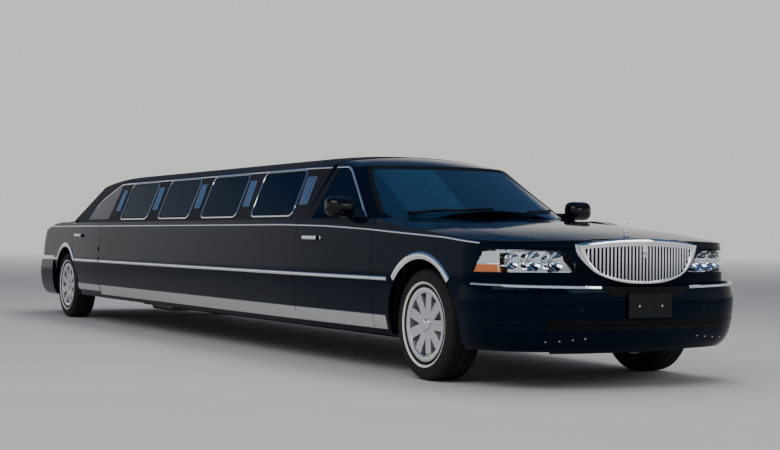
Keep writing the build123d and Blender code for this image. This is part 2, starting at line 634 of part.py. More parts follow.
def make_rear():
    """Rear quarters, trunk lid and tail lamps."""
    hollow = body_inner & (Pos(0, 0, -HOOD_THICK) * deck_top) & block(-LENGTH, LENGTH, -1200, 1200, 0, CABIN_TOP_Z)
    lid_hollow = body_inner & (Pos(0, 0, -HOOD_THICK) * deck_top)
    behind = block(-LENGTH, REAR_DOOR_X - 300, -1200, 1200, SILL_Z, 1300)
    outer = body & deck_top & behind
    forward_top = block(REAR_X - 60, LENGTH, -1200, 1200, BELT_Z, 1300)
    outer = outer - forward_top
    lid = (outer & lid_zone(-HALF_GAP)) - lid_hollow
    lid_edge = LID_FRONT_X - HALF_GAP
    lid = keep(lid + block(lid_edge - HINGE_TAB, lid_edge, -60, 60, TRUNK_HINGE_Z - 12, TRUNK_HINGE_Z))
    zone_cut = rear_door_zone(HALF_GAP)
    shell = outer - hollow - rear_arch - lid_zone(HALF_GAP) - zone_cut - mirror(zone_cut, Plane.XZ)
    shell = shell - cabin_box - cabin_upper - (house & above_belt)
    bumper_space = block(-LENGTH, REAR_X - BUMPER_CUT, -1200, 1200, 0, BUMPER_TOP_Z + 40)
    lamp = tail_lamp_zone()
    lamp_solid = (outer & lamp) - body_loft(60.0)
    shell = shell - bumper_space - lamp - mirror(lamp, Plane.XZ)
    pin = cross_cylinder(LID_FRONT_X, TRUNK_HINGE_Z, PIN_RADIUS, -60, 60)
    web = block(LID_FRONT_X + 0.5, LID_FRONT_X + 2 * HALF_GAP, -60, 60, TRUNK_HINGE_Z - 10, TRUNK_HINGE_Z)
    shell = shell + pin + web
    return {
        "rear_quarters": keep(shell),
        "trunk_lid": lid,
        "tail_lamps": pair(lamp_solid),
    }


def make_bumpers():
    """Hollow bumper covers, open behind, cut round the wheel arches."""
    shell = bumpers - bumpers_inner - body_loft(50.0)
    front = shell & block(FRONT_X + BUMPER_CUT, LENGTH, -1300, 1300, 0, BUMPER_TOP_Z)
    front = front - grille_prism(34, FRONT_X + 600, FRONT_X + 1300)
    for sign in (-1, 1):
        spot = Pos(FRONT_X + FRONT_OVERHANG, sign * PLATE_HOLE_SPACING / 2, PLATE_HOLE_Z)
        front = front - spot * Rot(0, 90, 0) * Cylinder(PLATE_HOLE_RADIUS, 240)
    rear = shell & block(-LENGTH, REAR_X - BUMPER_CUT, -1300, 1300, 0, BUMPER_TOP_Z)
    plate_face = REAR_X - REAR_OVERHANG + PLATE_RECESS
    rear = rear - block(-LENGTH, plate_face, -165, 165, 410, 570)
    for sign in (-1, 1):
        spot = Pos(plate_face, sign * PLATE_HOLE_SPACING / 2, PLATE_HOLE_Z)
        rear = rear - spot * Rot(0, 90, 0) * Cylinder(PLATE_HOLE_RADIUS, 200)
    return {"front_bumper": keep(front), "rear_bumper": keep(rear)}


def make_grille():
    """A chrome surround with upright bars."""
    face_x = FRONT_X + 1006
    ring = grille_prism(0, face_x - 70, face_x) - grille_prism(-26, face_x - 90, face_x + 20)
    slab = grille_prism(-22, face_x - 50, face_x - 12)
    bars = []
    for index in range(GRILLE_BARS):
        y = (index - (GRILLE_BARS - 1) / 2) * GRILLE_PITCH
        bar = block(face_x - 50, face_x - 12, y - GRILLE_BAR_WIDTH / 2, y + GRILLE_BAR_WIDTH / 2, 600, 900)
        bars += solids_of(bar & slab)
    grille = ring
    for bar in bars:
        grille = grille + bar
    return {"grille": keep(grille)}


def wheel_shape():
    """A nine-spoke alloy wheel about the Y axis, its face towards -Y."""
    lip, well = 101.0, 178.0
    profile = [
        (RIM_RADIUS - 22, -lip + 6), (RIM_RADIUS + 12, -lip), (RIM_RADIUS + 12, -lip + 10), (RIM_RADIUS, -lip + 16),
        (RIM_RADIUS - 6, -20), (well + 14, 10), (RIM_RADIUS - 6, 60), (RIM_RADIUS, lip - 16), (RIM_RADIUS + 12, lip - 10),
        (RIM_RADIUS + 12, lip), (RIM_RADIUS - 14, lip - 4), (RIM_RADIUS - 20, 60), (well, 14), (RIM_RADIUS - 20, -30),
    ]
    face = Face(Wire.make_polygon([(r, y, 0) for r, y in profile], close=True))
    rim = revolve(face, Axis.Y)
    hub = cross_cylinder(0, 0, 74, -84, -30)
    wheel = rim + hub
    for index in range(SPOKES):
        angle = 360.0 * index / SPOKES
        points = [(60, -30, -84), (RIM_RADIUS - 12, -34, -92), (RIM_RADIUS - 12, 34, -92), (60, 30, -84)]
        lower = [(r, w, y + 34) for r, w, y in points]
        top = Face(Wire.make_polygon([(r, y, w) for r, w, y in points], close=True))
        spoke = loft([top, Face(Wire.make_polygon([(r, y, w * 0.8) for r, w, y in lower], close=True))], ruled=True)
        wheel = wheel + Rot(0, angle, 0) * spoke
    disc = cross_cylinder(0, 0, 150, 10, 34) + cross_cylinder(0, 0, 60, -40, 40)
    return wheel + disc


def tyre_shape():
    """A tyre about the Y axis, hollow where the rim fills it."""
    half = TYRE_WIDTH / 2
    inner = RIM_RADIUS + 12.3
    profile = [
        (inner, -98), (inner + 26, -half + 2), (TYRE_RADIUS - 60, -half), (TYRE_RADIUS - 24, -half + 6),
        (TYRE_RADIUS - 6, -half + 24), (TYRE_RADIUS, -half + 50), (TYRE_RADIUS, half - 50),
        (TYRE_RADIUS - 6, half - 24), (TYRE_RADIUS - 24, half - 6), (TYRE_RADIUS - 60, half),
        (inner + 26, half - 2), (inner, 98),
    ]
    face = Face(Wire.make_polygon([(r, y, 0) for r, y in profile], close=True))
    return revolve(face, Axis.Y)


def make_wheels():
    """Tyres, wheels and steering knuckles at the four corners."""
    made = {}
    wheel, tyre = wheel_shape(), tyre_shape()
    for place, x, track in (("front", FRONT_X, FRONT_TRACK), ("rear", REAR_X, REAR_TRACK)):
        for side, sign in (("right", -1), ("left", 1)):
            turn = Rot(0, 0, 0) if sign < 0 else Rot(0, 0, 180)
            spot = Pos(x, sign * track / 2, TYRE_RADIUS)
            made[f"{place}_{side}_wheel"] = spot * turn * wheel
            made[f"{place}_{side}_tyre"] = spot * turn * tyre
    for side, sign in (("right", -1), ("left", 1)):
        y = sign * KNUCKLE_Y
        post = Pos(FRONT_X, y, TYRE_RADIUS) * Box(68, 40, KNUCKLE_HEIGHT)
        hub = cross_cylinder(FRONT_X, TYRE_RADIUS, 44, sign * (KNUCKLE_Y - 20), sign * (FRONT_TRACK / 2 - 40.3))
        caliper = Pos(FRONT_X - 120, sign * (FRONT_TRACK / 2 - 62), TYRE_RADIUS) * Box(80, 30, 120)
        arm = Pos(FRONT_X - 70, sign * (FRONT_TRACK / 2 - 74), TYRE_RADIUS) * Box(130, 20, 60)
        made[f"knuckle_{side}"] = post + hub + caliper + arm
    return made


def make_mirrors():
    """Door mirrors, each on a foot at the front corner of the door window."""
    head = Pos(FRONT_X - 975, -985, 1085) * Box(110, 200, 130)
    head = fillet(head.edges(), 32)
    foot_points = [
        (FRONT_X - 985, 1009),
        (FRONT_X - 1100, 1009),
        (FRONT_X - 1110, 1066),
        (FRONT_X - 1062, 1066),
    ]
    foot = side_prism(foot_points, -910, -700, 8.0)
    right = head + foot - glasshouse(-SEAT_CLEARANCE, 1000.0)
    return {"mirror_right": right, "mirror_left": mirror(right, Plane.XZ)}


def make_underbody():
    """Floor with its tunnel, firewall, frame rails and wheelhouses."""
    floor_x0, floor_x1 = REAR_X + 520, CABIN_FRONT_X - 60
    floor_y = CABIN_HALF_WIDTH - 9
    floor = block(floor_x0, floor_x1, -floor_y, floor_y, FLOOR_Z - 20, FLOOR_Z)
    for sign in (-1, 1):
        inner = sign * (CABIN_HALF_WIDTH - 80)
        floor = floor + block(floor_x0, floor_x1, inner, sign * floor_y, 262, 420)
        stretch0, stretch1 = REAR_DOOR_X + 60, FRONT_DOOR_X - FRONT_DOOR_LENGTH - 80
        floor = floor + block(stretch0, stretch1, inner, sign * CABIN_HALF_WIDTH, 262, 420)
    engine_bay = body_inner & (Pos(0, 0, -HOOD_THICK) * hood_top)
    firewall = block(floor_x1 - 20, floor_x1, -floor_y, floor_y, FLOOR_Z - 20, 1100) & engine_bay
    riser = block(floor_x0 - 20, floor_x0 + 10, -floor_y, floor_y, FLOOR_Z - 20, REAR_FLOOR_Z)
    rear_floor = block(REAR_X - 1190, floor_x0, -470, 470, REAR_FLOOR_Z - 20, REAR_FLOOR_Z)
    bulkhead = block(CABIN_REAR_X - 30, CABIN_REAR_X - 10, -760, 760, REAR_FLOOR_Z - 20, CABIN_TOP_Z)
    tunnel = block(floor_x0 - 20, floor_x1, -TUNNEL_HALF_WIDTH, TUNNEL_HALF_WIDTH, FLOOR_Z - 20, TUNNEL_TOP_Z)
    tunnel_space = block(
        floor_x0 - 30, floor_x1 + 10, 15 - TUNNEL_HALF_WIDTH, TUNNEL_HALF_WIDTH - 15, 0, TUNNEL_TOP_Z - 15
    )
    floor = floor + firewall + riser + rear_floor + bulkhead + tunnel - tunnel_space
    for sign in (-1, 1):
        floor = floor - cross_cylinder(REAR_X, ARCH_CUT_Z, ARCH_RADIUS + 12, sign * RAIL_OUTER_Y, sign * 1000)
    rails = side_prism(RAIL_PATH, -RAIL_OUTER_Y, -RAIL_INNER_Y)
    rails = rails + mirror(rails, Plane.XZ)
    for x, z in CROSSMEMBERS:
        rails = rails + block(x - 45, x + 45, -RAIL_INNER_Y - 10, RAIL_INNER_Y + 10, z, z + 70)
    tubs = []
    for x in (FRONT_X, REAR_X):
        arch = cross_cylinder(x, ARCH_CUT_Z, ARCH_RADIUS + 12, -1000, -RAIL_OUTER_Y)
        tub = arch - cross_cylinder(x, ARCH_CUT_Z, ARCH_RADIUS, -1100, -RAIL_OUTER_Y - 12)
        tub = tub & block(x - 600, x + 600, -1000, 0, 330, 900) & body_inner
        if x == REAR_X:
            tub = tub - cross_cylinder(x, TYRE_RADIUS, AXLE_HOLE_RADIUS, -1000, 0)
        tubs += solids_of(tub) + solids_of(mirror(tub, Plane.XZ))
    return {
        "floor_pan": keep(floor),
        "frame_rails": keep(rails),
        "wheelhouses": Compound(children=tubs),
    }


def make_mechanics():
    """Engine, radiator, axles, exhaust and tank, as they show from below and through the arches."""
    engine = block(FRONT_X - 440, FRONT_X + 250, -300, 300, ENGINE_Z, 840)
    gearbox = block(FRONT_X - 1150, FRONT_X - 430, -110, 110, ENGINE_Z - 8, 404)
    radiator = block(FRONT_X + 800, FRONT_X + 850, -380, 380, 380, 806)
    crossmember = block(FRONT_X - 80, FRONT_X + 80, -RAIL_INNER_Y, RAIL_INNER_Y, ENGINE_Z - 70, ENGINE_Z)
    knuckle_low = TYRE_RADIUS - KNUCKLE_HEIGHT / 2
    suspension = crossmember
    for sign in (-1, 1):
        outer = sign * (KNUCKLE_Y + 20)
        arm = block(FRONT_X - 34, FRONT_X + 34, sign * 300, outer, knuckle_low - 24, knuckle_low - SEAT_CLEARANCE)
        hanger = block(FRONT_X - 34, FRONT_X + 34, sign * 300, sign * 380, knuckle_low - 24, ENGINE_Z - 60)
        suspension = suspension + arm + hanger
    hub_end = REAR_TRACK / 2 - 40.3
    axle = cross_cylinder(REAR_X, TYRE_RADIUS, 38, -hub_end, hub_end) + cross_cylinder(REAR_X, TYRE_RADIUS, 130, -90, 90)
    shaft_length = FRONT_X - 1150 - (REAR_X + 100)
    shaft = Pos(REAR_X + 100 + shaft_length / 2, 0, TYRE_RADIUS) * Rot(0, 90, 0) * Cylinder(36, shaft_length)
    driveline = axle + shaft
    spring_y = (RAIL_OUTER_Y + RAIL_INNER_Y) / 2
    for sign in (-1, 1):
        spring_height = 480 - TYRE_RADIUS
        driveline = driveline + Pos(REAR_X, sign * spring_y, TYRE_RADIUS + spring_height / 2) * Cylinder(42, spring_height)
    pipes = []
    for sign in (-1, 1):
        route = [(x, sign * EXHAUST_Y, z) for x, z in EXHAUST_ROUTE]
        path = FilletPolyline(*route, radius=130)
        start = Plane(origin=route[0], z_dir=(-1, 0, 0))
        pipe = sweep(start * Circle(EXHAUST_RADIUS), path=path)
        silencer = block(REAR_X + 1000, REAR_X + 1600, sign * (EXHAUST_Y - 90), sign * (EXHAUST_Y + 90), 128, 209.7)
        pipes += solids_of(pipe + fillet(silencer.edges().filter_by(Axis.X), 30))
    tank = block(REAR_X - 1000, REAR_X - 420, -200, 200, 330, REAR_FLOOR_Z - 20)
    tank = fillet(tank.edges().filter_by(Axis.X), 30)
    return {
        "engine": engine + gearbox,
        "radiator": radiator,
        "front_suspension": suspension,
        "rear_axle": driveline,
        "exhaust": Compound(children=pipes),
        "fuel_tank": tank,
    }


def seat(x0, x1, y0, y1, base_z, cushion_z, back_z, lean):
    """A cushion on its base with a leaning backrest behind it, facing +X."""
    cushion = block(x0, x1, y0, y1, base_z, cushion_z)
    back_points = [(x0 - 10, cushion_z - 30), (x0 + 130, cushion_z - 30), (x0 + 110 - lean, back_z), (x0 - 10 - lean, back_z)]
    back = side_prism(back_points, y0, y1)
    return fillet(cushion.edges().filter_by(Axis.Y), 25) + back


def make_interior():
    """Dashboard, steering wheel, seats, partition and drinks cabinet."""
    points = [(-500, 700), (-500, 940), (-640, 975), (-800, 950), (-860, 890), (-850, 780), (-740, 700)]
    dash = side_prism([(FRONT_X + x, z) for x, z in points], -746, 746, 14)
    column = Pos(FRONT_X - 900, DRIVER_Y, 850) * Rot(0, 65, 0)
    wheel = column * Torus(185, 15) + column * Cylinder(42, 34) + column * (Pos(0, 0, 65) * Cylinder(26, 130))
    for angle in (0, 120, 240):
        wheel = wheel + column * Rot(0, 0, angle + 90) * Pos(95, 0, 0) * Box(170, 26, 14)
    wheel = wheel - side_prism([(FRONT_X + x, z) for x, z in points], -746, 746, 14, SEAT_CLEARANCE)
    seats = []
    for sign in (-1, 1):
        y0, y1 = sorted((sign * 140, sign * 660))
        front = seat(FRONT_X - 1660, FRONT_X - 1150, y0, y1, FLOOR_Z, 540, 1080, 110)
        head = block(FRONT_X - 1815, FRONT_X - 1715, (y0 + y1) / 2 - 130, (y0 + y1) / 2 + 130, 1070, 1230)
        seats += solids_of(front + fillet(head.edges().filter_by(Axis.X), 40))
    inside = cabin_upper + block(-LENGTH, LENGTH, -CABIN_HALF_WIDTH, CABIN_HALF_WIDTH, FLOOR_Z, CABIN_TOP_Z)
    wall = inside & block(PARTITION_X - 20, PARTITION_X + 20, -1000, 1000, FLOOR_Z, 1600)
    hatch = block(PARTITION_X - 40, PARTITION_X + 40, -420, 420, 1020, 1330)
    tunnel = block(PARTITION_X - 40, PARTITION_X + 40, -TUNNEL_HALF_WIDTH, TUNNEL_HALF_WIDTH, 0, TUNNEL_TOP_Z)
    sills = block(PARTITION_X - 40, PARTITION_X + 40, CABIN_HALF_WIDTH - 80, 1000, 0, 420)
    wall = wall - hatch - tunnel - sills - mirror(sills, Plane.XZ)
    rear = seat(REAR_X + 20, REAR_X + 500, -465, 465, REAR_FLOOR_Z, 740, 1070, 90)
    bench_x0, bench_x1 = REAR_X + 900, PARTITION_X - 500
    side_cushion = block(bench_x0, bench_x1, 300, 770, FLOOR_Z, 700)
    side_cushion = fillet(side_cushion.edges().filter_by(Axis.X), 20)
    side_seat = side_cushion + block(bench_x0, bench_x1, 680, 790, 670, 960)
    bar = block(bench_x0 + 500, bench_x1 - 600, -776, -470, FLOOR_Z, 930)
    return {
        "dashboard": dash,
        "steering_wheel": keep(wheel),
        "front_seats": Compound(children=seats),
        "partition": keep(wall),
        "rear_seat": keep(rear),
        "side_bench": keep(side_seat),
        "bar_cabinet": bar,
    }


def make_plate_bracket():
    """The front number plate's bracket, with two bolt holes."""
    bracket = block(FRONT_X + 980, FRONT_X + FRONT_OVERHANG, -158, 158, 424, 566) - bumpers
    for sign in (-1, 1):
        spot = Pos(FRONT_X + FRONT_OVERHANG, sign * PLATE_HOLE_SPACING / 2, PLATE_HOLE_Z)
        bracket = bracket - spot * Rot(0, 90, 0) * Cylinder(PLATE_HOLE_RADIUS, 240)
    return {"plate_bracket": keep(bracket)}


nodes = {}
MAKERS = (
    make_doors, make_side_panels, make_roof, make_front, make_rear, make_bumpers, make_grille, make_wheels,
    make_mirrors, make_underbody, make_mechanics, make_interior, make_plate_bracket,
)
for maker in MAKERS:
    nodes.update(maker())
os.makedirs("parts", exist_ok=True)
for name, shape in nodes.items():
    export_step(shape, f"parts/{name}.step")
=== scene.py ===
import json
import math

import bmesh
import bpy
import numpy as np
from mathutils import Matrix, Vector
from mathutils.bvhtree import BVHTree

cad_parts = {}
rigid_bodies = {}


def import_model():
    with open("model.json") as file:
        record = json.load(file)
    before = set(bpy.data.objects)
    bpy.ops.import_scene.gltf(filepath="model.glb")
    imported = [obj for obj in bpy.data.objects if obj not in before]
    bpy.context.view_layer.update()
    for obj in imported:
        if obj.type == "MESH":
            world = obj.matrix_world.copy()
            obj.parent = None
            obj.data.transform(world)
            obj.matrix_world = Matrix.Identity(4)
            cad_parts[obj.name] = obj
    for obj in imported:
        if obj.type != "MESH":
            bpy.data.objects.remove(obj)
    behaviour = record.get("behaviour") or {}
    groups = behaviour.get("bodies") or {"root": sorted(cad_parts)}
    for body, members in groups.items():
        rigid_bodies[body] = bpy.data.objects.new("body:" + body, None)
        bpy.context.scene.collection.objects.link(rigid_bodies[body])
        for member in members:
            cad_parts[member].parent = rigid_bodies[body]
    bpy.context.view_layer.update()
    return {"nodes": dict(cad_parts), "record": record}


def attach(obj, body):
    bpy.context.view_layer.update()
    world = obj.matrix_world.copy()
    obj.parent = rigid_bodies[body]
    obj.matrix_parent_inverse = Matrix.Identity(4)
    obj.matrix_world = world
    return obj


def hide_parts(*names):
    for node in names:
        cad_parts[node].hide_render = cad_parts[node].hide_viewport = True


for old in list(bpy.data.objects):
    bpy.data.objects.remove(old)
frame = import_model()
nodes = frame["nodes"]

# Main places, in metres. Many tables below give x as a distance from the front axle.
FRONT_X = 3.9615
REAR_X = -3.6005
BELT_Z = 1.005
SEAM_X = FRONT_X - 1.735
TYRE_R = 0.344
ARCH_Z = 0.337

# Materials

# The first finish made for a slot, which its CAD nodes wear, and the slot that each finish stands for.
FINISHES, SLOT_OF = {}, {}


def shader_of(mat):
    return mat.node_tree.nodes["Principled BSDF"]


def material(name, color, **settings):
    """A new material with a Principled shader whose sockets are set directly."""
    mat = bpy.data.materials.new(name)
    mat.use_nodes = True
    shader = shader_of(mat)
    shader.inputs["Base Color"].default_value = (*color, 1.0)
    for key, value in settings.items():
        socket = shader.inputs[key.replace("_", " ").title().replace("Ior", "IOR")]
        socket.default_value = (*value, 1.0) if isinstance(value, tuple) else value
    return mat


def add(owner, kind, **values):
    """A new node of a material or world, with its inputs or settings given by name."""
    node = owner.node_tree.nodes.new(kind)
    for key, value in values.items():
        if key in node.inputs:
            node.inputs[key].default_value = value
        else:
            setattr(node, key, value)
    return node


def link(owner, output, target):
    owner.node_tree.links.new(output, target)


def coords(mat, stretch=(1.0, 1.0, 1.0)):
    """Object coordinates, which ride with the piece, stretched."""
    mapping = add(mat, "ShaderNodeMapping", Scale=stretch)
    link(mat, add(mat, "ShaderNodeTexCoord").outputs["Object"], mapping.inputs["Vector"])
    return mapping.outputs["Vector"]


def noise(mat, scale, detail=3.0, stretch=(1.0, 1.0, 1.0)):
    node = add(mat, "ShaderNodeTexNoise", Scale=scale, Detail=detail)
    link(mat, coords(mat, stretch), node.inputs["Vector"])
    return node.outputs["Fac"]


def cells(mat, scale, feature="F1"):
    node = add(mat, "ShaderNodeTexVoronoi", Scale=scale, feature=feature)
    link(mat, coords(mat), node.inputs["Vector"])
    return node.outputs["Distance"]


def remap(mat, value, *limits):
    """A value taken from one range, low and high, to another."""
    node = add(mat, "ShaderNodeMapRange")
    for socket, number in zip(node.inputs[1:5], limits):
        socket.default_value = number
    link(mat, value, node.inputs["Value"])
    return node.outputs["Result"]


def compute(owner, operation, first, second):
    """A math node of two inputs; the second may be a plain number."""
    node = add(owner, "ShaderNodeMath", operation=operation)
    link(owner, first, node.inputs[0])
    if isinstance(second, float):
        node.inputs[1].default_value = second
    else:
        link(owner, second, node.inputs[1])
    return node.outputs[0]


def mix_shaders(owner, share, first, second, output="Material Output"):
    """Send a mix of two shaders to the output."""
    mix = add(owner, "ShaderNodeMixShader")
    for source, socket in zip((share, first, second), mix.inputs):
        link(owner, source, socket)
    link(owner, mix.outputs[0], owner.node_tree.nodes[output].inputs["Surface"])


def two_colors(mat, value, first, second, shader=None):
    """The base colour as a mix of two colours by value."""
    node = add(mat, "ShaderNodeMix", data_type="RGBA")
    for socket, color in zip([s for s in node.inputs if s.type == "RGBA"], (first, second)):
        socket.default_value = (*color, 1.0)
    link(mat, value, node.inputs[0])
    result = [s for s in node.outputs if s.type == "RGBA"][0]
    link(mat, result, (shader or shader_of(mat)).inputs["Base Color"])


def rough_by(mat, value, low, high):
    link(mat, remap(mat, value, 0.3, 0.7, low, high), shader_of(mat).inputs["Roughness"])


def bump(mat, value, strength, distance, shader=None):
    node = add(mat, "ShaderNodeBump", Strength=strength, Distance=distance)
    link(mat, value, node.inputs["Height"])
    link(mat, node.outputs["Normal"], (shader or shader_of(mat)).inputs["Normal"])


def finish(name, slot, color, tones=None, rough=None, relief=None, **settings):
    """A material for a slot. Each texture entry has the texture with its numbers, then what it drives:
    tones two colours, rough the lowest and highest roughness, relief a bump's strength and depth."""
    mat = material(name, color, **settings)
    for use, entry in ((two_colors, tones), (rough_by, rough), (bump, relief)):
        if entry:
            (texture, *numbers), *values = entry
            use(mat, texture(mat, *numbers), *values)
    FINISHES.setdefault(slot, mat)
    SLOT_OF[mat.name] = slot
    return mat


PAINT_DARK = (0.0010, 0.0026, 0.0075)
PAINT_LIGHT = (0.0022, 0.0055, 0.015)
# The paint's reflections are tinted blue: a painted reflection of blue sky.
PAINT_SKY_REFLECTION_TINT = (0.45, 0.70, 1.0)
VINYL_LOW_Z = BELT_Z + 0.0008


def painted(name, slot):
    """Deep blue-black paint with a faint flake, uneven gloss, a fine ripple and blue-tinted reflections, a
    painted sky reflection.
    """
    mat = finish(
        name, slot, PAINT_DARK, None, ((noise, 1.7, 4.0), 0.03, 0.09), ((noise, 260.0, 1.0), 0.006, 0.0004),
        IOR=1.17, Specular_Ior_Level=0.5, Specular_Tint=PAINT_SKY_REFLECTION_TINT,
    )
    two_colors(mat, remap(mat, cells(mat, 900.0), 0.1, 0.7, 0.0, 1.0), PAINT_LIGHT, PAINT_DARK)
    return mat


def add_vinyl(mat, seam_x):
    """A second, grained shader behind seam_x and above the belt line."""
    vinyl = add(mat, "ShaderNodeBsdfPrincipled", **{"Roughness": 0.55, "Specular IOR Level": 0.15})
    grain = cells(mat, 620.0)
    two_colors(mat, grain, (0.007, 0.0075, 0.010), (0.016, 0.0165, 0.020), vinyl)
    bump(mat, grain, 0.55, 0.0012, vinyl)
    split = add(mat, "ShaderNodeSeparateXYZ")
    link(mat, coords(mat), split.inputs[0])
    behind = compute(mat, "LESS_THAN", split.outputs["X"], seam_x)
    above = compute(mat, "GREATER_THAN", split.outputs["Z"], VINYL_LOW_Z)
    mask = compute(mat, "MULTIPLY", behind, above)
    mix_shaders(mat, mask, shader_of(mat).outputs[0], vinyl.outputs[0])


paint = painted("body_paint_finish", "body_paint")
# The rear roof and its pillars are covered with grained vinyl; the front of the roof is painted.
two_tone = painted("roof_finish", "roof_cover")
add_vinyl(two_tone, SEAM_X)
door_paint = painted("front_door_finish", "body_paint")
add_vinyl(door_paint, FRONT_X - 1.652)

finish(
    "tinted_glass", "tinted_glass", (0.006, 0.022, 0.055), None, ((noise, 3.0, 2.0), 0.0, 0.02),
    Transmission_Weight=0.7, IOR=1.16,
)
screen_glass = finish(
    "windshield_glass", "tinted_glass", (0.03, 0.11, 0.23), None, ((noise, 3.0, 2.0), 0.0, 0.02),
    Transmission_Weight=0.85, IOR=1.4,
)
finish(
    "lamp_glass", "lamp_glass", (0.93, 0.96, 0.98), None, ((noise, 4.0, 2.0), 0.0, 0.03),
    Transmission_Weight=1.0, IOR=1.15,
)
chrome = finish(
    "chrome", "chrome", (0.90, 0.92, 0.95), None, ((noise, 14.0, 4.0), 0.02, 0.07), Metallic=1.0
)
reflector = finish(
    "reflector", "reflector", (0.88, 0.89, 0.92), relief=((noise, 90.0, 0.0), 0.08, 0.001),
    Metallic=1.0, Roughness=0.1,
)
brushed = finish(
    "brushed_steel", "chrome", (0.62, 0.61, 0.60), None,
    ((noise, 30.0, 5.0, (1.0, 12.0, 60.0)), 0.22, 0.42),
    ((noise, 40.0, 4.0, (0.6, 12.0, 80.0)), 0.12, 0.0006), Metallic=1.0,
)
finish(
    "alloy", "alloy", (0.60, 0.61, 0.63), None, ((noise, 40.0, 5.0), 0.24, 0.36),
    Metallic=0.75, Coat_Weight=0.3,
)
alloy_bright = finish(
    "alloy_bright", "alloy", (0.72, 0.73, 0.75), None, ((noise, 30.0, 4.0), 0.14, 0.26),
    Metallic=0.9, Coat_Weight=0.4,
)
mirror_face = finish(
    "mirror_face", "reflector", (0.75, 0.78, 0.80), None, ((noise, 20.0, 2.0), 0.01, 0.04), Metallic=1.0
)
rubber = finish(
    "tyre_rubber", "tyre", (0.012, 0.012, 0.013),
    ((noise, 25.0, 6.0), (0.007, 0.007, 0.008), (0.018, 0.0175, 0.017)),
    ((noise, 60.0, 4.0), 0.6, 0.85), ((noise, 300.0, 3.0), 0.2, 0.0005), Specular_Ior_Level=0.22,
)
whitewall = finish(
    "white_ring", "tyre", (0.75, 0.74, 0.70), ((noise, 18.0, 5.0), (0.80, 0.79, 0.76), (0.62, 0.60, 0.55)),
    Roughness=0.6,
)
plastic = finish(
    "black_plastic", "black_plastic", (0.006, 0.006, 0.007), None,
    ((noise, 80.0, 3.0), 0.45, 0.65), ((cells, 900.0), 0.25, 0.0004), Specular_Ior_Level=0.18,
)
plastic_gloss = finish(
    "mirror_shell", "black_plastic", (0.003, 0.0035, 0.005), None, ((noise, 30.0, 3.0), 0.14, 0.24),
    Specular_Ior_Level=0.3,
)
gasket = finish(
    "gasket_rubber", "black_plastic", (0.005, 0.005, 0.006), None, ((noise, 50.0, 3.0), 0.5, 0.75),
    Specular_Ior_Level=0.2,
)
finish(
    "underbody_steel", "dark_steel", (0.030, 0.029, 0.028),
    ((noise, 6.0, 8.0), (0.010, 0.010, 0.011), (0.034, 0.028, 0.024)), None,
    ((noise, 90.0, 6.0), 0.4, 0.001),
    Roughness=0.7, Specular_Ior_Level=0.2,
)
finish(
    "exhaust_steel", "exhaust_steel", (0.30, 0.28, 0.26),
    ((noise, 9.0, 8.0), (0.34, 0.33, 0.32), (0.14, 0.10, 0.08)), Metallic=0.9, Roughness=0.45,
)
leather = finish(
    "seat_leather", "seat_leather", (0.03, 0.03, 0.032),
    ((noise, 7.0, 5.0), (0.022, 0.022, 0.024), (0.045, 0.044, 0.046)), None,
    ((cells, 380.0, "SMOOTH_F1"), 0.4, 0.0008), Roughness=0.42,
)
thread = finish(
    "piping", "seat_leather", (0.30, 0.29, 0.27), relief=((noise, 500.0, 2.0), 0.3, 0.0004), Roughness=0.6
)
finish(
    "cabinet_wood", "cabinet_wood", (0.10, 0.04, 0.02),
    ((noise, 5.0, 8.0, (1.0, 14.0, 14.0)), (0.15, 0.06, 0.025), (0.045, 0.016, 0.008)),
    Roughness=0.25, Coat_Weight=0.7,
)
carpet = finish(
    "carpet", "carpet_floor", (0.02, 0.02, 0.022),
    ((noise, 240.0, 2.0), (0.012, 0.012, 0.013), (0.040, 0.039, 0.041)), None,
    ((noise, 420.0, 3.0), 0.8, 0.002),
    Roughness=0.95,
)
finish(
    "tail_lens", "tail_lens", (0.28, 0.006, 0.008), relief=((noise, 60.0, 0.0, (0.2, 0.2, 6.0)), 0.4, 0.001),
    Roughness=0.12, Coat_Weight=0.8, Transmission_Weight=0.35,
)
amber = finish(
    "amber_lens", "tail_lens", (0.85, 0.20, 0.02), relief=((cells, 260.0), 0.5, 0.0008),
    Roughness=0.18, Coat_Weight=0.8,
)
white_lens = finish(
    "white_lens", "reflector", (0.80, 0.80, 0.80), relief=((cells, 140.0), 0.35, 0.0008),
    Roughness=0.22, Coat_Weight=0.6,
)
radiator_black = finish(
    "radiator_core", "black_plastic", (0.004, 0.004, 0.005),
    relief=((noise, 60.0, 0.0, (0.1, 1.0, 14.0)), 0.8, 0.002), Roughness=0.6, Specular_Ior_Level=0.15,
)

NODE_FINISHES = {
    "side_panels": two_tone,
    "rear_door_right": two_tone,
    "rear_door_left": two_tone,
    "front_door_right": door_paint,
    "front_door_left": door_paint,
    "windshield": screen_glass,
    "radiator": radiator_black,
    "plate_bracket": plastic_gloss,
    "floor_pan": carpet,
}
for row in frame["record"]["subparts"]:
    for slot in nodes[row["node"]].material_slots:
        slot.material = NODE_FINISHES.get(row["node"], FINISHES[row["material_slot"]])

# Mesh helpers


def tree_of(*names):
    """A search tree over the resting meshes of CAD nodes."""
    corners, faces = [], []
    for name in names:
        mesh = nodes[name].data
        start = len(corners)
        corners += [v.co.copy() for v in mesh.vertices]
        faces += [[start + i for i in p.vertices] for p in mesh.polygons]
    return BVHTree.FromPolygons(corners, faces)


def mirrored(corners, faces):
    """The left side's copy of a skin on the right side."""
    return [(x, -y, z) for x, y, z in corners], [f[::-1] for f in faces]


def placed(skin, side, to=(0.0, 0.0, 0.0)):
    """A skin moved to a place; with side -1 it faces the other way."""
    return [(to[0] + x, to[1] + y * side, to[2] + z) for x, y, z in skin[0]], skin[1]


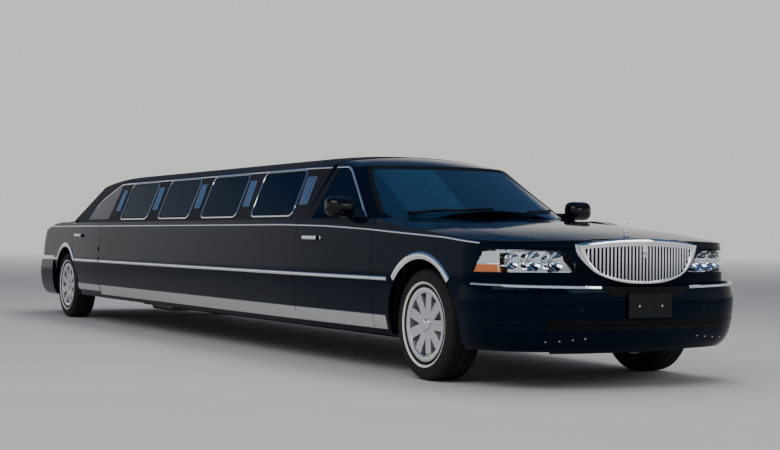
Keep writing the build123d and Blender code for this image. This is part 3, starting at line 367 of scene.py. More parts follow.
class Piece:
    """Collects mesh parts that ride on one body and share one finish."""

    made = {}

    def __init__(self, name, mat, body="car_body", sharp=35.0, stands_for=(), is_pad=False):
        self.name, self.mat, self.body, self.sharp = name, mat, body, sharp
        self.stands_for, self.is_pad = stands_for, is_pad
        self.corners, self.faces = [], []
        Piece.made[name] = self

    def add(self, corners, faces):
        start = len(self.corners)
        self.corners += [tuple(c) for c in corners]
        self.faces += [[start + i for i in f] for f in faces]

    def both(self, corners, faces):
        self.add(corners, faces)
        self.add(*mirrored(corners, faces))

    def lay(self, tree, view, path, profile, spacing=0.02, closed=False):
        """Lay a strip on a surface; one that is laid from the side is mirrored to the left."""
        for rings in strip(tree, view, path, profile, spacing, closed):
            (self.both if view == "side" else self.add)(*tube(rings, closed))

    def make(self):
        """The finished object, riding on its body and the CAD nodes that it replaces."""
        mesh = bpy.data.meshes.new(self.name)
        mesh.from_pydata(self.corners, [], self.faces)
        work = bmesh.new()
        work.from_mesh(mesh)
        bmesh.ops.recalc_face_normals(work, faces=work.faces)
        work.to_mesh(mesh)
        work.free()
        mesh.polygons.foreach_set("use_smooth", [True] * len(mesh.polygons))
        mesh.set_sharp_from_angle(angle=math.radians(self.sharp))
        mesh.materials.append(self.mat)
        piece = bpy.data.objects.new(self.name, mesh)
        bpy.context.scene.collection.objects.link(piece)
        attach(piece, self.body)
        for node in self.stands_for:
            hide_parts(node)


def piece_for(family, mat, body="car_body"):
    name = family if body == "car_body" else f"{family}_{body}"
    return Piece.made.get(name) or Piece(name, mat, body)


def turns(steps):
    """Angles all round."""
    return [2 * math.pi * k / steps for k in range(steps)]


def read(table, place):
    """A value read off a table of (place, value) rows."""
    return float(np.interp(place, *zip(*table)))


def sheet(grid):
    """A skin over rows of corners."""
    span = len(grid[0])
    starts = [i * span + k for i in range(len(grid) - 1) for k in range(span - 1)]
    return [c for line in grid for c in line], [[s, s + 1, s + span + 1, s + span] for s in starts]


def tube(rings, closed=False):
    """A skin over rings of corners, each with the same count, with flat ends unless it is closed."""
    count = len(rings[0])
    corners = [c for ring in rings for c in ring]
    faces = []
    last = len(rings) if closed else len(rings) - 1
    for i in range(last):
        a, b = i * count, ((i + 1) % len(rings)) * count
        faces += [[a + k, a + (k + 1) % count, b + (k + 1) % count, b + k] for k in range(count)]
    if not closed:
        faces.append(list(range(count))[::-1])
        faces.append([(len(rings) - 1) * count + k for k in range(count)])
    return corners, faces


def rod(path, radius, sides=8, closed=False):
    """A round rod along points in space; radius may be one number or one for each point."""
    rings = []
    total = len(path)
    radii = radius if isinstance(radius, list) else [radius] * total
    side = None
    for i, point in enumerate(path):
        before = path[i - 1] if i or closed else path[i]
        after = path[(i + 1) % total] if i < total - 1 or closed else path[i]
        ahead = (Vector(after) - Vector(before)).normalized()
        if side is None:
            side = ahead.cross(Vector((0.3, 0.2, 0.93))).normalized()
        side = (side - ahead * side.dot(ahead)).normalized()
        up = ahead.cross(side)
        spokes = [side * math.cos(t) + up * math.sin(t) for t in turns(sides)]
        rings.append([Vector(point) + spoke * radii[i] for spoke in spokes])
    return tube(rings, closed)


def about_x(profile, place, steps=48):
    """A closed profile of (x, radius) turned about a fore-and-aft line through place."""
    x, y, z = place
    rings = [[(x + a, y + r * math.cos(t), z + r * math.sin(t)) for a, r in profile] for t in turns(steps)]
    return tube(rings, True)


def plate_box(x0, x1, y0, y1, z0, z1, soft):
    """A box with eased edges."""
    work = bmesh.new()
    bmesh.ops.create_cube(work, size=1.0)
    for v in work.verts:
        v.co = [(a + b) / 2 + c * (b - a) for c, a, b in zip(v.co, (x0, y0, z0), (x1, y1, z1))]
    bmesh.ops.bevel(work, geom=list(work.edges), offset=soft, segments=3, affect="EDGES", profile=0.5)
    work.verts.ensure_lookup_table()
    corners = [tuple(v.co) for v in work.verts]
    faces = [[v.index for v in f.verts] for f in work.faces]
    work.free()
    return corners, faces


def ball(place, size):
    """An ellipsoid with flat poles."""
    rows, columns, rings = 10, 16, []
    for rise in (math.pi * i / rows for i in range(1, rows)):
        spread = math.sin(rise)
        shape = [(spread * math.cos(t), spread * math.sin(t), math.cos(rise)) for t in turns(columns)]
        rings.append([tuple(p + s * c for p, s, c in zip(place, size, corner)) for corner in shape])
    return tube(rings)


def at(points, steps, mark):
    """The point at a length along a path of known steps, and the direction there."""
    for a, b, step in zip(points, points[1:], steps):
        if mark <= step or b is points[-1]:
            share = min(mark / step, 1.0) if step else 0.0
            return a + (b - a) * share, (b - a) / max(step, 1e-9)
        mark -= step


def rounded(path, radius, closed=True, steps=5):
    """The 2-D path with its corners rounded."""
    made = []
    count = len(path)
    for i, point in enumerate(path):
        p = np.array(point, float)
        if not closed and i in (0, count - 1):
            made.append(p)
            continue
        before, after = np.array(path[i - 1], float) - p, np.array(path[(i + 1) % count], float) - p
        reach = min(radius, np.linalg.norm(before) * 0.45, np.linalg.norm(after) * 0.45)
        start = p + before / np.linalg.norm(before) * reach
        end = p + after / np.linalg.norm(after) * reach
        for t in (k / steps for k in range(steps + 1)):
            made.append((1 - t) ** 2 * start + 2 * t * (1 - t) * p + t**2 * end)
    return made


def soft_rectangle(half_a, half_b, radius, steps=5):
    """A rectangle about the origin with rounded corners."""
    corners = [(-half_a, -half_b), (half_a, -half_b), (half_a, half_b), (-half_a, half_b)]
    return rounded(corners, radius, True, steps)


RAYS = {
    "side": (lambda a, b: (a, -1.6, b), Vector((0, 1, 0))),
    "front": (lambda a, b: (6.0, a, b), Vector((-1, 0, 0))),
    "rear": (lambda a, b: (-6.0, a, b), Vector((1, 0, 0))),
    "top": (lambda a, b: (a, b, 2.5), Vector((0, 0, -1))),
}
# A strip needs a surface that faces the ray by this much, and may step this far from its middle.
FACING, STEP_SHARE, STEP_MORE = 0.15, 2.5, 0.004
# Where a strip's run begins and ends is probed at this spacing; shorter runs are left out.
PROBE, SHORTEST_RUN = 0.012, 0.025


def cast(tree, view, a, b):
    """Where a ray from one side of the car meets a surface, and the normal there."""
    place, ray = RAYS[view]
    return tree.ray_cast(Vector(place(a, b)), ray)[:2]


def station(tree, view, point, direction, profile):
    """One cross-section of a strip laid on the surface, or None where it would hang over an edge."""
    across = np.array((-direction[1], direction[0]))
    middle, normal = cast(tree, view, *point)
    if middle is None or -normal.dot(RAYS[view][1]) < FACING:
        return None
    ring = []
    for offset, height in profile:
        hit = cast(tree, view, *(point + across * offset))[0]
        if hit is None or (hit - middle).length > abs(offset) * STEP_SHARE + STEP_MORE:
            return None
        ring.append(hit + normal * height)
    return ring


def bent(width, height):
    """A low rounded cross-section, sunk a little at its edges."""
    half, sink = width / 2, 0.002
    top = [(-half, height * 0.35), (-half * 0.6, height * 0.85), (0, height), (half * 0.6, height * 0.85)]
    return [(-half, -sink)] + top + [(half, height * 0.35), (half, -sink)]


def even(*half):
    """A cross-section whose second half mirrors the first."""
    return list(half) + [(-offset, height) for offset, height in reversed(half)]


def scaled(profile, wide, high=1.0, lift=0.0):
    return [(offset * wide, height * high + lift) for offset, height in profile]


def edge_between(good, bad, fine):
    """The end of a run, between a mark that carries the strip and one that doesn't."""
    for _ in range(8):
        middle = (bad + fine) / 2
        if good(middle) is None:
            bad = middle
        else:
            fine = middle
    return fine


def strip(tree, view, path, profile, spacing=0.02, closed=False):
    """Rings of a strip along a path, in runs where the surface carries it, with exact ends."""
    points = [np.array(p, float) for p in path]
    if closed:
        points.append(points[0])
    steps = [np.linalg.norm(b - a) for a, b in zip(points, points[1:])]
    total = sum(steps)

    def good(mark):
        return station(tree, view, *at(points, steps, mark), profile)

    if closed:
        marks = np.linspace(0, total, max(2, int(round(total / spacing))), endpoint=False)
        return [[ring for ring in map(good, marks) if ring]]
    count = max(4, int(total / PROBE))
    marks = np.linspace(0, total, count + 1)
    runs, start = [], None
    for i, fit in enumerate([good(m) is not None for m in marks] + [False]):
        if fit and start is None:
            start = i
        if not fit and start is not None:
            runs.append((start, i - 1))
            start = None
    made = []
    for first, last in runs:
        low, high = marks[first], marks[last]
        if first > 0:
            low = edge_between(good, marks[first - 1], low)
        if last < count:
            high = edge_between(good, marks[last + 1], high)
        if high - low >= SHORTEST_RUN:
            amount = max(2, int((high - low) / spacing))
            made.append([ring for ring in map(good, np.linspace(low, high, amount + 1)) if ring])
    return made


# Panels along the right side, with the body that each rides on and the glass that continues its surface.
PANELS = (
    ("front_fenders", "car_body", ()),
    ("front_door_right", "front_door_right", ("front_door_glass_right",)),
    ("side_panels", "car_body", ("side_glass",)),
    ("rear_door_right", "rear_door_right", ("rear_door_glass_right",)),
    ("rear_quarters", "car_body", ()),
)
trees = {name: tree_of(name, *panes) for name, _, panes in PANELS}
# Strips end this much before a rear door's hinge line, so that they stay clear as the door opens.
DOOR_STRIP_CUT = 0.008


def cut_back(rings, end, beside):
    """Draw the end ring of a strip back towards the one beside it."""
    rings[end] = [a.lerp(b, DOOR_STRIP_CUT / (b - a).length) for a, b in zip(rings[end], rings[beside])]


def side_strip(family, path, profile, mat, spacing=0.02, panels=PANELS):
    """A strip along the car's right side, split where the panels meet, and its mirror image."""
    for panel, body, _ in panels:
        for rings in strip(trees[panel], "side", path, profile, spacing):
            if len(rings) < 2:
                continue
            if panel == "rear_door_right":
                cut_back(rings, 0, 1)
            if panel == "side_panels":
                cut_back(rings, -1, -2)
            skin = tube(rings)
            piece_for(family, mat, body).add(*skin)
            piece_for(family, mat, body.replace("right", "left")).add(*mirrored(*skin))


def from_axle(points):
    """Millimetres from the front axle to metres in the frame."""
    return [(FRONT_X + x / 1000.0, z / 1000.0) for x, z in points]


# Side trims

belt_line = from_axle([
    (605, 853), (250, 884), (-330, 913), (-736, 935), (-1300, 955), (-2000, 966), (-8420, 966),
])
door_top = rounded(from_axle([(-970, 1005), (-1485, 1356), (-1545, 1384), (-1760, 1384)]), 0.09, False, 8)
rear_top = from_axle([(-6300, 1384), (-6500, 1384), (-6966, 1250), (-7118, 1168), (-7140, 1012)])
top_section = bent(0.013, 0.005)
rocker = even((-0.0465, -0.002), (-0.0465, 0.003), (-0.043, 0.006))
rear_rocker = scaled(rocker, 0.67)
for family, path, section, mat, spacing, panels in (
    ("belt_strip", belt_line, bent(0.011, 0.004), chrome, 0.02, PANELS),
    ("sill_moulding", from_axle([(-1075, 998), (-7330, 998)]), bent(0.018, 0.005), chrome, 0.02, PANELS),
    ("mid_strip", from_axle([(-402, 616.5), (-8500, 616.5)]), bent(0.025, 0.008), chrome, 0.02, PANELS),
    ("window_top_strip", door_top, top_section, chrome, 0.012, PANELS[1:2]),
    ("window_top_strip", from_axle([(-1735, 1384), (-6330, 1384)]), top_section, chrome, 0.03, PANELS[2:3]),
    ("window_top_strip", rounded(rear_top, 0.07, False, 8), top_section, chrome, 0.012, PANELS[3:4]),
    ("rocker_panel", from_axle([(-440, 335.5), (-6330, 335.5)]), rocker, brushed, 0.05, PANELS),
    ("rocker_panel", from_axle([(-6318, 351), (-7190, 351)]), rear_rocker, brushed, 0.05, PANELS[3:]),
):
    side_strip(family, path, section, mat, spacing, panels)

# Windows of the stretched part, in millimetres: their fronts at the sill, and the same lean for each.
WINDOW_FRONTS = (-1999.0, -3072.0, -4133.0, -5202.0)
WINDOW_LENGTH, WINDOW_LOW, WINDOW_HIGH, LEAN = 755.0, 1037.0, 1372.0, 42.0
FRAME_SECTION = (
    (-0.013, -0.002), (-0.013, 0.002), (-0.009, 0.005), (-0.003, 0.005), (0.0, 0.002), (0.0, -0.002),
)
GASKET_SECTION = ((0.0, -0.002), (0.0, 0.002), (0.004, 0.003), (0.009, 0.0015), (0.009, -0.001))
for front in WINDOW_FRONTS:
    back = front - WINDOW_LENGTH
    high = [(front - LEAN, WINDOW_HIGH), (back - LEAN, WINDOW_HIGH)]
    outline = rounded(from_axle([(back, WINDOW_LOW), (front, WINDOW_LOW), *high]), 0.055)
    for family, mat, section in (
        ("window_frames", chrome, FRAME_SECTION),
        ("window_gaskets", gasket, GASKET_SECTION),
    ):
        piece_for(family, mat).lay(trees["side_panels"], "side", outline, section, closed=True)

# Four bright bars stand on each pillar between the windows. In millimetres.
BAR_SETS = (-1807.0, -2869.0, -3936.0, -4999.0, -6068.0)
BAR_INSET, BAR_PITCH, BAR_LEAN, BAR_LOW, BAR_HIGH = 12.0, 34.0, 52.0, 1108, 1324
for front in BAR_SETS:
    for bar in range(4):
        x = front - BAR_INSET - bar * BAR_PITCH
        path = from_axle([(x, BAR_LOW), (x - BAR_LEAN, BAR_HIGH)])
        side_strip("pillar_bars", path, bent(0.021, 0.009), chrome, panels=PANELS[2:3])

# Wheel arch mouldings: the radius of their middle line, and the angle from level at which they end.
ARCH_MIDDLE, ARCH_END = (0.411 + 0.456) / 2, 41.0
ARCH_SECTION = [
    (-0.0225, -0.003), (-0.0225, 0.004), (-0.015, 0.009), (0.004, 0.009), (0.017, 0.005), (0.0225, 0.002),
    (0.0225, -0.003),
]
for axle, panel in ((FRONT_X, "front_fenders"), (REAR_X, "rear_quarters")):
    arc = np.linspace(math.radians(ARCH_END), math.radians(180 - ARCH_END), 60)
    path = [(axle + ARCH_MIDDLE * math.cos(t), ARCH_Z + ARCH_MIDDLE * math.sin(t)) for t in arc]
    piece_for("arch_mouldings", chrome).lay(trees[panel], "side", path, scaled(ARCH_SECTION, -1))

# Wheels

# Half of a tyre's section from the bead to the middle of the tread: radius, then distance from the middle.
TREAD_HALF = (
    (0.2285, -0.098), (0.244, -0.100), (0.262, -0.1105), (0.284, -0.1125), (0.300, -0.1120), (0.318, -0.1085),
    (0.331, -0.1010), (0.3395, -0.0900), (0.3425, -0.0790), (0.3432, -0.0690), (0.3360, -0.0680),
    (0.3360, -0.0600), (0.3436, -0.0590), (0.3439, -0.0330), (0.3360, -0.0320), (0.3360, -0.0220),
    (0.3440, -0.0210),
)
TREAD = TREAD_HALF + tuple((radius, -y) for radius, y in reversed(TREAD_HALF))
TREAD_STEPS, GROOVE_STEPS = 288, 6
MIDDLE_RIB, SECOND_RIB, RIB_TOP, MIDDLE_TOP = 0.0215, 0.0595, 0.338, 0.343
GROOVE, SIPE = 0.0055, 0.0025


def tyre_rings():
    """One tyre about its own middle: ribs cut across by grooves, staggered from rib to rib."""
    rings = []
    for step, turn in enumerate(turns(TREAD_STEPS)):
        ring = []
        for radius, y in TREAD:
            rib = 0 if abs(y) < MIDDLE_RIB else 1 if abs(y) < SECOND_RIB else 2
            cut = (step + (3 if rib == 1 else 0)) % GROOVE_STEPS == 0
            if radius > RIB_TOP and cut and rib:
                radius -= GROOVE
            if radius > MIDDLE_TOP and rib == 0 and step % GROOVE_STEPS in (1, 4):
                radius -= SIPE
            ring.append((radius * math.sin(turn), y, radius * math.cos(turn)))
        rings.append(ring)
    return rings


def turned(profile, steps):
    """A closed profile of (radius, y) turned about the wheel's axis."""
    return tube([[(r * math.sin(t), y, r * math.cos(t)) for r, y in profile] for t in turns(steps)], True)


WHITE_RING = ((0.2500, -0.1048), (0.2512, -0.1062), (0.2625, -0.1122), (0.2640, -0.1114))
TRIM_RING = (
    (0.196, -0.0955), (0.199, -0.0985), (0.208, -0.1005), (0.222, -0.1022), (0.2265, -0.1005),
    (0.2265, -0.098), (0.2, -0.094),
)
TRIM_CAP = (
    (0.0, -0.1005), (0.022, -0.0998), (0.031, -0.0970), (0.0355, -0.0925), (0.0365, -0.0830), (0.0, -0.0830)
)
LUG_CIRCLE = 0.0555
trim_skins = [turned(TRIM_RING, 72), turned(TRIM_CAP, 72)]
for turn in turns(5):
    lug = [(LUG_CIRCLE * math.sin(turn), y, LUG_CIRCLE * math.cos(turn)) for y in (-0.083, -0.0915, -0.0935)]
    trim_skins.append(rod(lug, [0.0085, 0.0085, 0.005], 12))
valve = rod([(0.0, -0.092, -0.186), (0.002, -0.108, -0.181), (0.003, -0.120, -0.178)], [0.005, 0.0045, 0.004])
WHEEL_PIECES = (
    ("tread", rubber, 28.0, [tube(tyre_rings(), True)]),
    ("white_ring", whitewall, 35.0, [turned(WHITE_RING, 96)]),
    ("wheel_trim", alloy_bright, 35.0, trim_skins),
    ("valve", gasket, 35.0, [valve]),
)
for place, x, y in (
    ("front_right", FRONT_X, -0.805), ("front_left", FRONT_X, 0.805),
    ("rear_right", REAR_X, -0.833), ("rear_left", REAR_X, 0.833),
):
    for family, mat, sharp, skins in WHEEL_PIECES:
        stands = [f"{place}_tyre"] if family == "tread" else []
        piece = Piece(f"{family}_{place}", mat, f"{place}_wheel", sharp, stands)
        for skin in skins:
            piece.add(*placed(skin, 1 if y < 0 else -1, (x, y, TYRE_R)))

# Front and rear details

RAY_REACH = 4.0
NOSE_AHEAD = 0.350
NOSE_X, TAIL_X = FRONT_X + NOSE_AHEAD, REAR_X - 0.75
# A strip wrapped round a bumper is set by the surface this far under its middle, and steps this far at most.
UNDER_LIP, WRAP_STEP = 0.004, 0.03


def meet_level(tree, middle_x, angle, z):
    """Where a level ray from round about, towards a point on the car's middle line, meets a surface."""
    inward = Vector((-math.cos(angle), -math.sin(angle), 0))
    hit, normal = tree.ray_cast(Vector((middle_x, 0, z)) - inward * RAY_REACH, inward)[:2]
    return hit, normal, inward


def wrapped(tree, middle_x, start, end, height, profile, count=60, top=9.0):
    """A strip laid round a bumper, between two angles; its height may change with its share of the way."""
    rings = []
    for share in np.linspace(0.0, 1.0, count):
        angle = math.radians(start + (end - start) * share)
        z = height(share) if callable(height) else height
        base, normal, _ = meet_level(tree, middle_x, angle, min(z, top) - UNDER_LIP)
        flat = Vector((normal.x, normal.y, 0)).normalized()
        ring = []
        for offset, out in profile:
            hit = meet_level(tree, middle_x, angle, z + offset)[0]
            if hit is None or (hit - base).length > WRAP_STEP:
                hit = Vector((base.x, base.y, z + offset))
            ring.append(hit + flat * out)
        rings.append(ring)
    return tube(rings)


front_tree, rear_tree = tree_of("front_bumper"), tree_of("rear_bumper")
lens_tree = tree_of("headlamp_lenses")
bright_band = even((-0.008, -0.003), (-0.008, 0.003), (-0.004, 0.006))
strips = Piece("bumper_strips", chrome)
strips.both(*wrapped(front_tree, NOSE_X, -76, -26, lambda way: 0.614 - 0.014 * way, bright_band, 70, 0.600))
strips.add(*wrapped(rear_tree, TAIL_X, 112, 248, 0.590, bright_band, 110))
seam_band = even((-0.0015, -0.001), (-0.0015, 0.0008))
Piece("bumper_seams", gasket).both(*wrapped(front_tree, NOSE_X, -72, -44, 0.398, seam_band))
mesh_band = [
    (-0.031, -0.001), (-0.031, 0.0015), (-0.016, 0.002), (0.0, 0.002), (0.016, 0.002), (0.031, 0.0015),
    (0.031, -0.001),
]
Piece("intake_mesh", radiator_black).add(*wrapped(front_tree, NOSE_X, -47.5, 47.5, 0.386, mesh_band, 100))
slats = Piece("intake_slats", plastic_gloss)
for height in (0.372, 0.386, 0.400):
    slats.add(*wrapped(front_tree, NOSE_X, -47, 47, height, scaled(bright_band, 0.35, 2.2), 90))

# A dark sheet laid on the bumper's top under the grille, painted shade where the bumper dips beneath the
# grille: distance from the middle, then the sheet's lower edge.
NOTCH_SHADE_EDGE = ((0.0, 0.541), (0.12, 0.541), (0.25, 0.553), (0.322, 0.588), (0.345, 0.602))
NOTCH_SHADE_TOP, NOTCH_SHADE_STEP, SKIN_LIFT = 0.6035, 0.035, 0.0012
grid = []
for y in np.linspace(-0.345, 0.345, 61):
    line, last_x = [], FRONT_X + 1.040
    for z in np.linspace(read(NOTCH_SHADE_EDGE, abs(y)), NOTCH_SHADE_TOP, 7):
        hit = cast(front_tree, "front", y, z)[0]
        if hit and abs(hit.x - last_x) < NOTCH_SHADE_STEP:
            last_x = hit.x
        line.append((last_x + SKIN_LIFT, y, z))
    grid.append(line)
# Painted shade: the dark sheet stands just over the bumper's skin.
Piece("bumper_notch_painted_shade", radiator_black).add(*sheet(grid))

# A flexible air dam under the bumper.
DAM_X, DAM_BOW, DAM_TOP, DAM_LOW = FRONT_X + 0.84, 0.28, 0.262, 0.205
dam = []
for y in np.linspace(-0.50, 0.50, 40):
    x = DAM_X - DAM_BOW * y * y
    dam.append([(x, y, DAM_TOP), (x + 0.004, y, DAM_TOP), (x - 0.014, y, DAM_LOW), (x - 0.019, y, DAM_LOW)])
Piece("air_dam", plastic).add(*tube(dam))

screws, dots = Piece("bumper_screws", brushed), Piece("bumper_sensors", plastic)


def stud(piece, hit, normal, radius, height, sides):
    """A round head on a surface."""
    path = [hit - normal * 0.002, hit + normal * height * 0.6, hit + normal * height]
    piece.add(*rod(path, [radius, radius, radius * 0.6], sides))


bracket_tree = tree_of("plate_bracket", "front_bumper")
for piece, y, z, *size in (
    (screws, -0.083, 0.492, 0.0065, 0.004, 16),
    (screws, 0.083, 0.492, 0.0065, 0.004, 16),
    (dots, -0.113, 0.535, 0.012, 0.003, 20),
    (dots, -0.45, 0.47, 0.011, 0.002, 20),
    (dots, 0.45, 0.47, 0.011, 0.002, 20),
):
    stud(piece, *cast(bracket_tree, "front", y, z), *size)
for angle, height in ((-48.5, 0.290), (-43.5, 0.293), (-38.3, 0.299), (-33.0, 0.306)):
    hit, normal, _ = meet_level(front_tree, NOSE_X, math.radians(angle), height)
    for side in (1, -1):
        flip = Vector((1, side, 1))
        stud(screws, hit * flip, normal * flip, 0.005, 0.003, 12)


LENS_INSET = 0.0115


def lamp_patch(points):
    """A skin inside the lens over a four-cornered region drawn from the side."""
    (a, b, c, d), rows, columns = [np.array(q) for q in points], 8, 14
    grid = []
    for i in range(rows + 1):
        line = []
        for k in range(columns + 1):
            low = a + (b - a) * k / columns
            high = d + (c - d) * k / columns
            x, z = low + (high - low) * i / rows
            hit, normal = cast(lens_tree, "side", x, z)
            if hit is None:
                hit, normal = Vector((x, -0.86, z)), Vector((0, -1, 0))
            line.append(hit - normal * LENS_INSET)
        grid.append(line)
    return sheet(grid)


# Headlamp corner: a white section over an amber one, just inside the lens, with bright dividing bars.
for name, mat, region in (
    ("lamp_corner_white", white_lens, [(558, 733), (722, 733), (716, 808), (566, 800)]),
    ("lamp_corner_amber", amber, [(556, 684), (730, 684), (722, 729), (558, 729)]),
):
    Piece(name, mat).both(*lamp_patch(from_axle(region)))
bezels = Piece("lamp_bezels", chrome)
for path in ([(718, 685), (708, 812)], [(562, 731), (720, 731)]):
    bezels.lay(lens_tree, "side", from_axle(path), scaled(bright_band, 0.35, 0.3, -0.0125))

# The grille: a bowed smile-shaped frame, upright bars before a dark mesh, and a painted header behind it.
GRILLE_HALF, OPENING_HALF, OPENING_TOP, OPENING_DROP = 0.449, 0.390, 0.838, 0.019
GRILLE_SIDE = ((GRILLE_HALF, 0.848), (0.436, 0.801), (0.394, 0.737), (0.308, 0.670), (0.165, 0.628))
OPENING_SIDE = ((OPENING_HALF, 0.819), (0.378, 0.780), (0.349, 0.735), (0.284, 0.680), (0.150, 0.645))
GRILLE_X, GRILLE_BOW = FRONT_X + 1.004, 1.560
GRILLE_BARS, GRILLE_PITCH = 31, 0.0245
HOOD_EDGE_Z = 0.812
# Across the frame, from its outer edge to its inner one: share of the way, then depth behind the face.
RIM_SECTION = (
    (0, 0.008), (0.06, 0.003), (0.2, 0.0), (0.5, -0.001), (0.8, 0.0), (0.94, 0.003), (1, 0.008), (1, 0.034)
)


def grille_x(y):
    """The grille's face seen from above is an arc."""
    return GRILLE_X - GRILLE_BOW + math.sqrt(GRILLE_BOW**2 - y * y)


def smile(side, low_z, top_z):
    """A closed outline: a smooth curve below, from corner to corner, and a shallow arc above."""
    low = [np.array(q, float) for q in (*side, (0.0, low_z), *((-y, z) for y, z in reversed(side)))]
    ends = [2 * low[0] - low[1], *low, 2 * low[-1] - low[-2]]
    made = []
    for a, b, c, d in zip(ends, ends[1:], ends[2:], ends[3:]):
        for t in (k / 8 for k in range(8)):
            square, cube = 2 * a - 5 * b + 4 * c - d, 3 * b - a - 3 * c + d
            made.append(0.5 * (2 * b + (c - a) * t + square * t**2 + cube * t**3))
    half, corner_z = side[0]
    for k in range(48):
        y = -half + 2 * half * k / 48
        made.append(np.array((y, top_z - (top_z - corner_z) * (y / half) ** 2)))
    return made


outer, inner = smile(GRILLE_SIDE, 0.617, 0.884), smile(OPENING_SIDE, 0.635, OPENING_TOP)
opening_low = sorted((y, z) for y, z in inner[:80])


def opening(y, past):
    """The grille's opening at y, from its lower to its upper edge, and a little past both."""
    return read(opening_low, y) - past, OPENING_TOP - OPENING_DROP * (y / OPENING_HALF) ** 2 + past


rings = []
for (oy, oz), (iy, iz) in zip(outer, inner):
    deep = 0.022 if oz > HOOD_EDGE_Z else 0.032 + 0.028 * (1 - (oy / GRILLE_HALF) ** 2)
    ring = []
    for share, back in ((0, deep), *RIM_SECTION):
        y, z = oy + (iy - oy) * share, oz + (iz - oz) * share
        ring.append((grille_x(y) - back, y, z))
    rings.append(ring)
grille = Piece("grille_front", chrome, stands_for=["grille"])
grille.add(*tube(rings, True))
bar_section = even((-0.0052, 0.030), (-0.0052, 0.012), (-0.003, 0.0075))
for bar in range(GRILLE_BARS):
    y = (bar - (GRILLE_BARS - 1) / 2) * GRILLE_PITCH
    x, ends = grille_x(y), opening(y, 0.006)
    grille.add(*tube([[(x - back, y + offset, z) for offset, back in bar_section] for z in ends]))
grille.add(*plate_box(GRILLE_X - 0.026, GRILLE_X + 0.0005, -0.013, 0.013, 0.772, 0.842, 0.004))
back_rings = []
for y in np.linspace(-0.386, 0.386, 33):
    x, (low, high) = grille_x(y), opening(y, 0.008)
    back_rings.append([(x - 0.031, y, low), (x - 0.031, y, high), (x - 0.033, y, high), (x - 0.033, y, low)])
Piece("grille_mesh", radiator_black).add(*tube(back_rings))


def hood_height(x, y):
    """The hood's top near its front edge, as the CAD has it."""
    share = (x - FRONT_X - 0.4) / 0.6
    middle, side = 0.945 - 0.077 * share, 0.926 - 0.084 * share
    return middle + (side - middle) * (y / 0.6) ** 2


HEADER_BACK, HEADER_HALF, HEADER_SINK, HEADER_THICK = FRONT_X + 0.873, 0.343, 0.0015, 0.010
header_rings = []
for y in np.linspace(-HEADER_HALF, HEADER_HALF, 41):
    ahead = np.linspace(HEADER_BACK, grille_x(y) - 0.010, 8)
    top = [(x, y, hood_height(x, y) - HEADER_SINK) for x in ahead]
    header_rings.append(top + [(x, y, z - HEADER_THICK) for x, y, z in reversed(top)])
Piece("grille_header", paint).add(*tube(header_rings))

# Headlamps: a bright tray behind the lens with three ringed bowls and their bulbs.
skin_tree = tree_of("headlamp_lenses", "nose_panel", "front_fenders")
LAMP_LOW, LAMP_HIGH, LAMP_INNER_X, LAMP_OUTER_Y = 0.6845, 0.8155, 0.57, 0.905
TRAY_EDGE, TRAY_BACK = 0.010, 0.090
# Bowls. Columns: X of the rim from the front axle, Y, Z, radius.
LAMP_BOWLS = ((0.851, -0.534, 0.745, 0.054), (0.806, -0.655, 0.747, 0.052), (0.738, -0.757, 0.748, 0.043))
BOWL_DEPTH = 0.62


def inner_edge(z, base):
    """How far from the middle a headlamp begins at a height."""
    return base + 0.048 * (z - 0.670) / 0.160


def lamp_point(angle, z, inset):
    """A point behind the lens, seen from round about the middle of the nose."""
    hit, _, inward = meet_level(skin_tree, NOSE_X, angle, z)
    return hit + inward * inset


tray = []
for share, inset in ((0, TRAY_EDGE), *((k / 8, TRAY_BACK) for k in range(9)), (1, TRAY_EDGE)):
    z = LAMP_LOW + (LAMP_HIGH - LAMP_LOW) * share
    rear_x = 0.563 + 0.067 * (z - 0.682) / 0.136
    first = math.atan2(-inner_edge(z, 0.3885), LAMP_INNER_X)
    last = math.atan2(-LAMP_OUTER_Y, rear_x - NOSE_AHEAD)
    line = [lamp_point(t, z, inset) for t in np.linspace(first, last, 40)]
    tray.append([lamp_point(first, z, TRAY_EDGE), *line, lamp_point(last, z, TRAY_EDGE)])
bowls = Piece("headlamp_bowls", reflector, stands_for=["headlamp_reflectors"])
bowls.both(*sheet(tray))
lamp_rings, bulbs = Piece("headlamp_rings", chrome), Piece("headlamp_bulbs", white_lens)
for x, y, z, radius in LAMP_BOWLS:
    place, deep = (FRONT_X + x, y, z), BOWL_DEPTH * radius
    dish = [(-deep * (1 - (k / 8) ** 2), radius * max(k / 8, 0.02)) for k in range(8, -1, -1)]
    shell = dish + [(-deep - 0.003, 0.02 * radius), (-deep - 0.003, 0.5 * radius), (-0.006, radius + 0.003)]
    bowls.both(*about_x(shell, place))
    ring = [(-0.050, 0.001), (-0.050, 0.006), (0.001, 0.006), (0.004, 0.003), (0.001, 0.0)]
    lamp_rings.both(*about_x([(x, radius + more) for x, more in ring], place))
    bulbs.both(*ball((place[0] - deep + 0.014, y, z), (0.016, 0.0085, 0.0085)))

# The body-coloured shoulder over each lamp's inner end, which slants down towards the grille.
SHOULDER = ((0.680, 0.384), (0.712, 0.405), (0.746, 0.440), (0.788, 0.486), (0.808, 0.532), (0.8185, 0.615))
grid = []
for z in np.linspace(0.6815, 0.8185, 25):
    edge = inner_edge(z, 0.383)
    line = []
    for y in np.linspace(edge, max(edge + 0.001, read(SHOULDER, z)), 9):
        hit, normal = cast(skin_tree, "front", -y, z)
        line.append(hit + normal * SKIN_LIFT)
    grid.append(line + [line[-1] - Vector((0.012, 0, 0))])
Piece("lamp_shoulders", paint).both(*sheet(grid))

# The fender's top rises smoothly to the door's top in front of the mirror.
fender_tree, door_tree = tree_of("front_fenders", "hood"), tree_of("front_door_right")
DOOR_EDGE, RISE_LENGTH, RISE_MOST = FRONT_X - 0.610, 0.330, 0.04


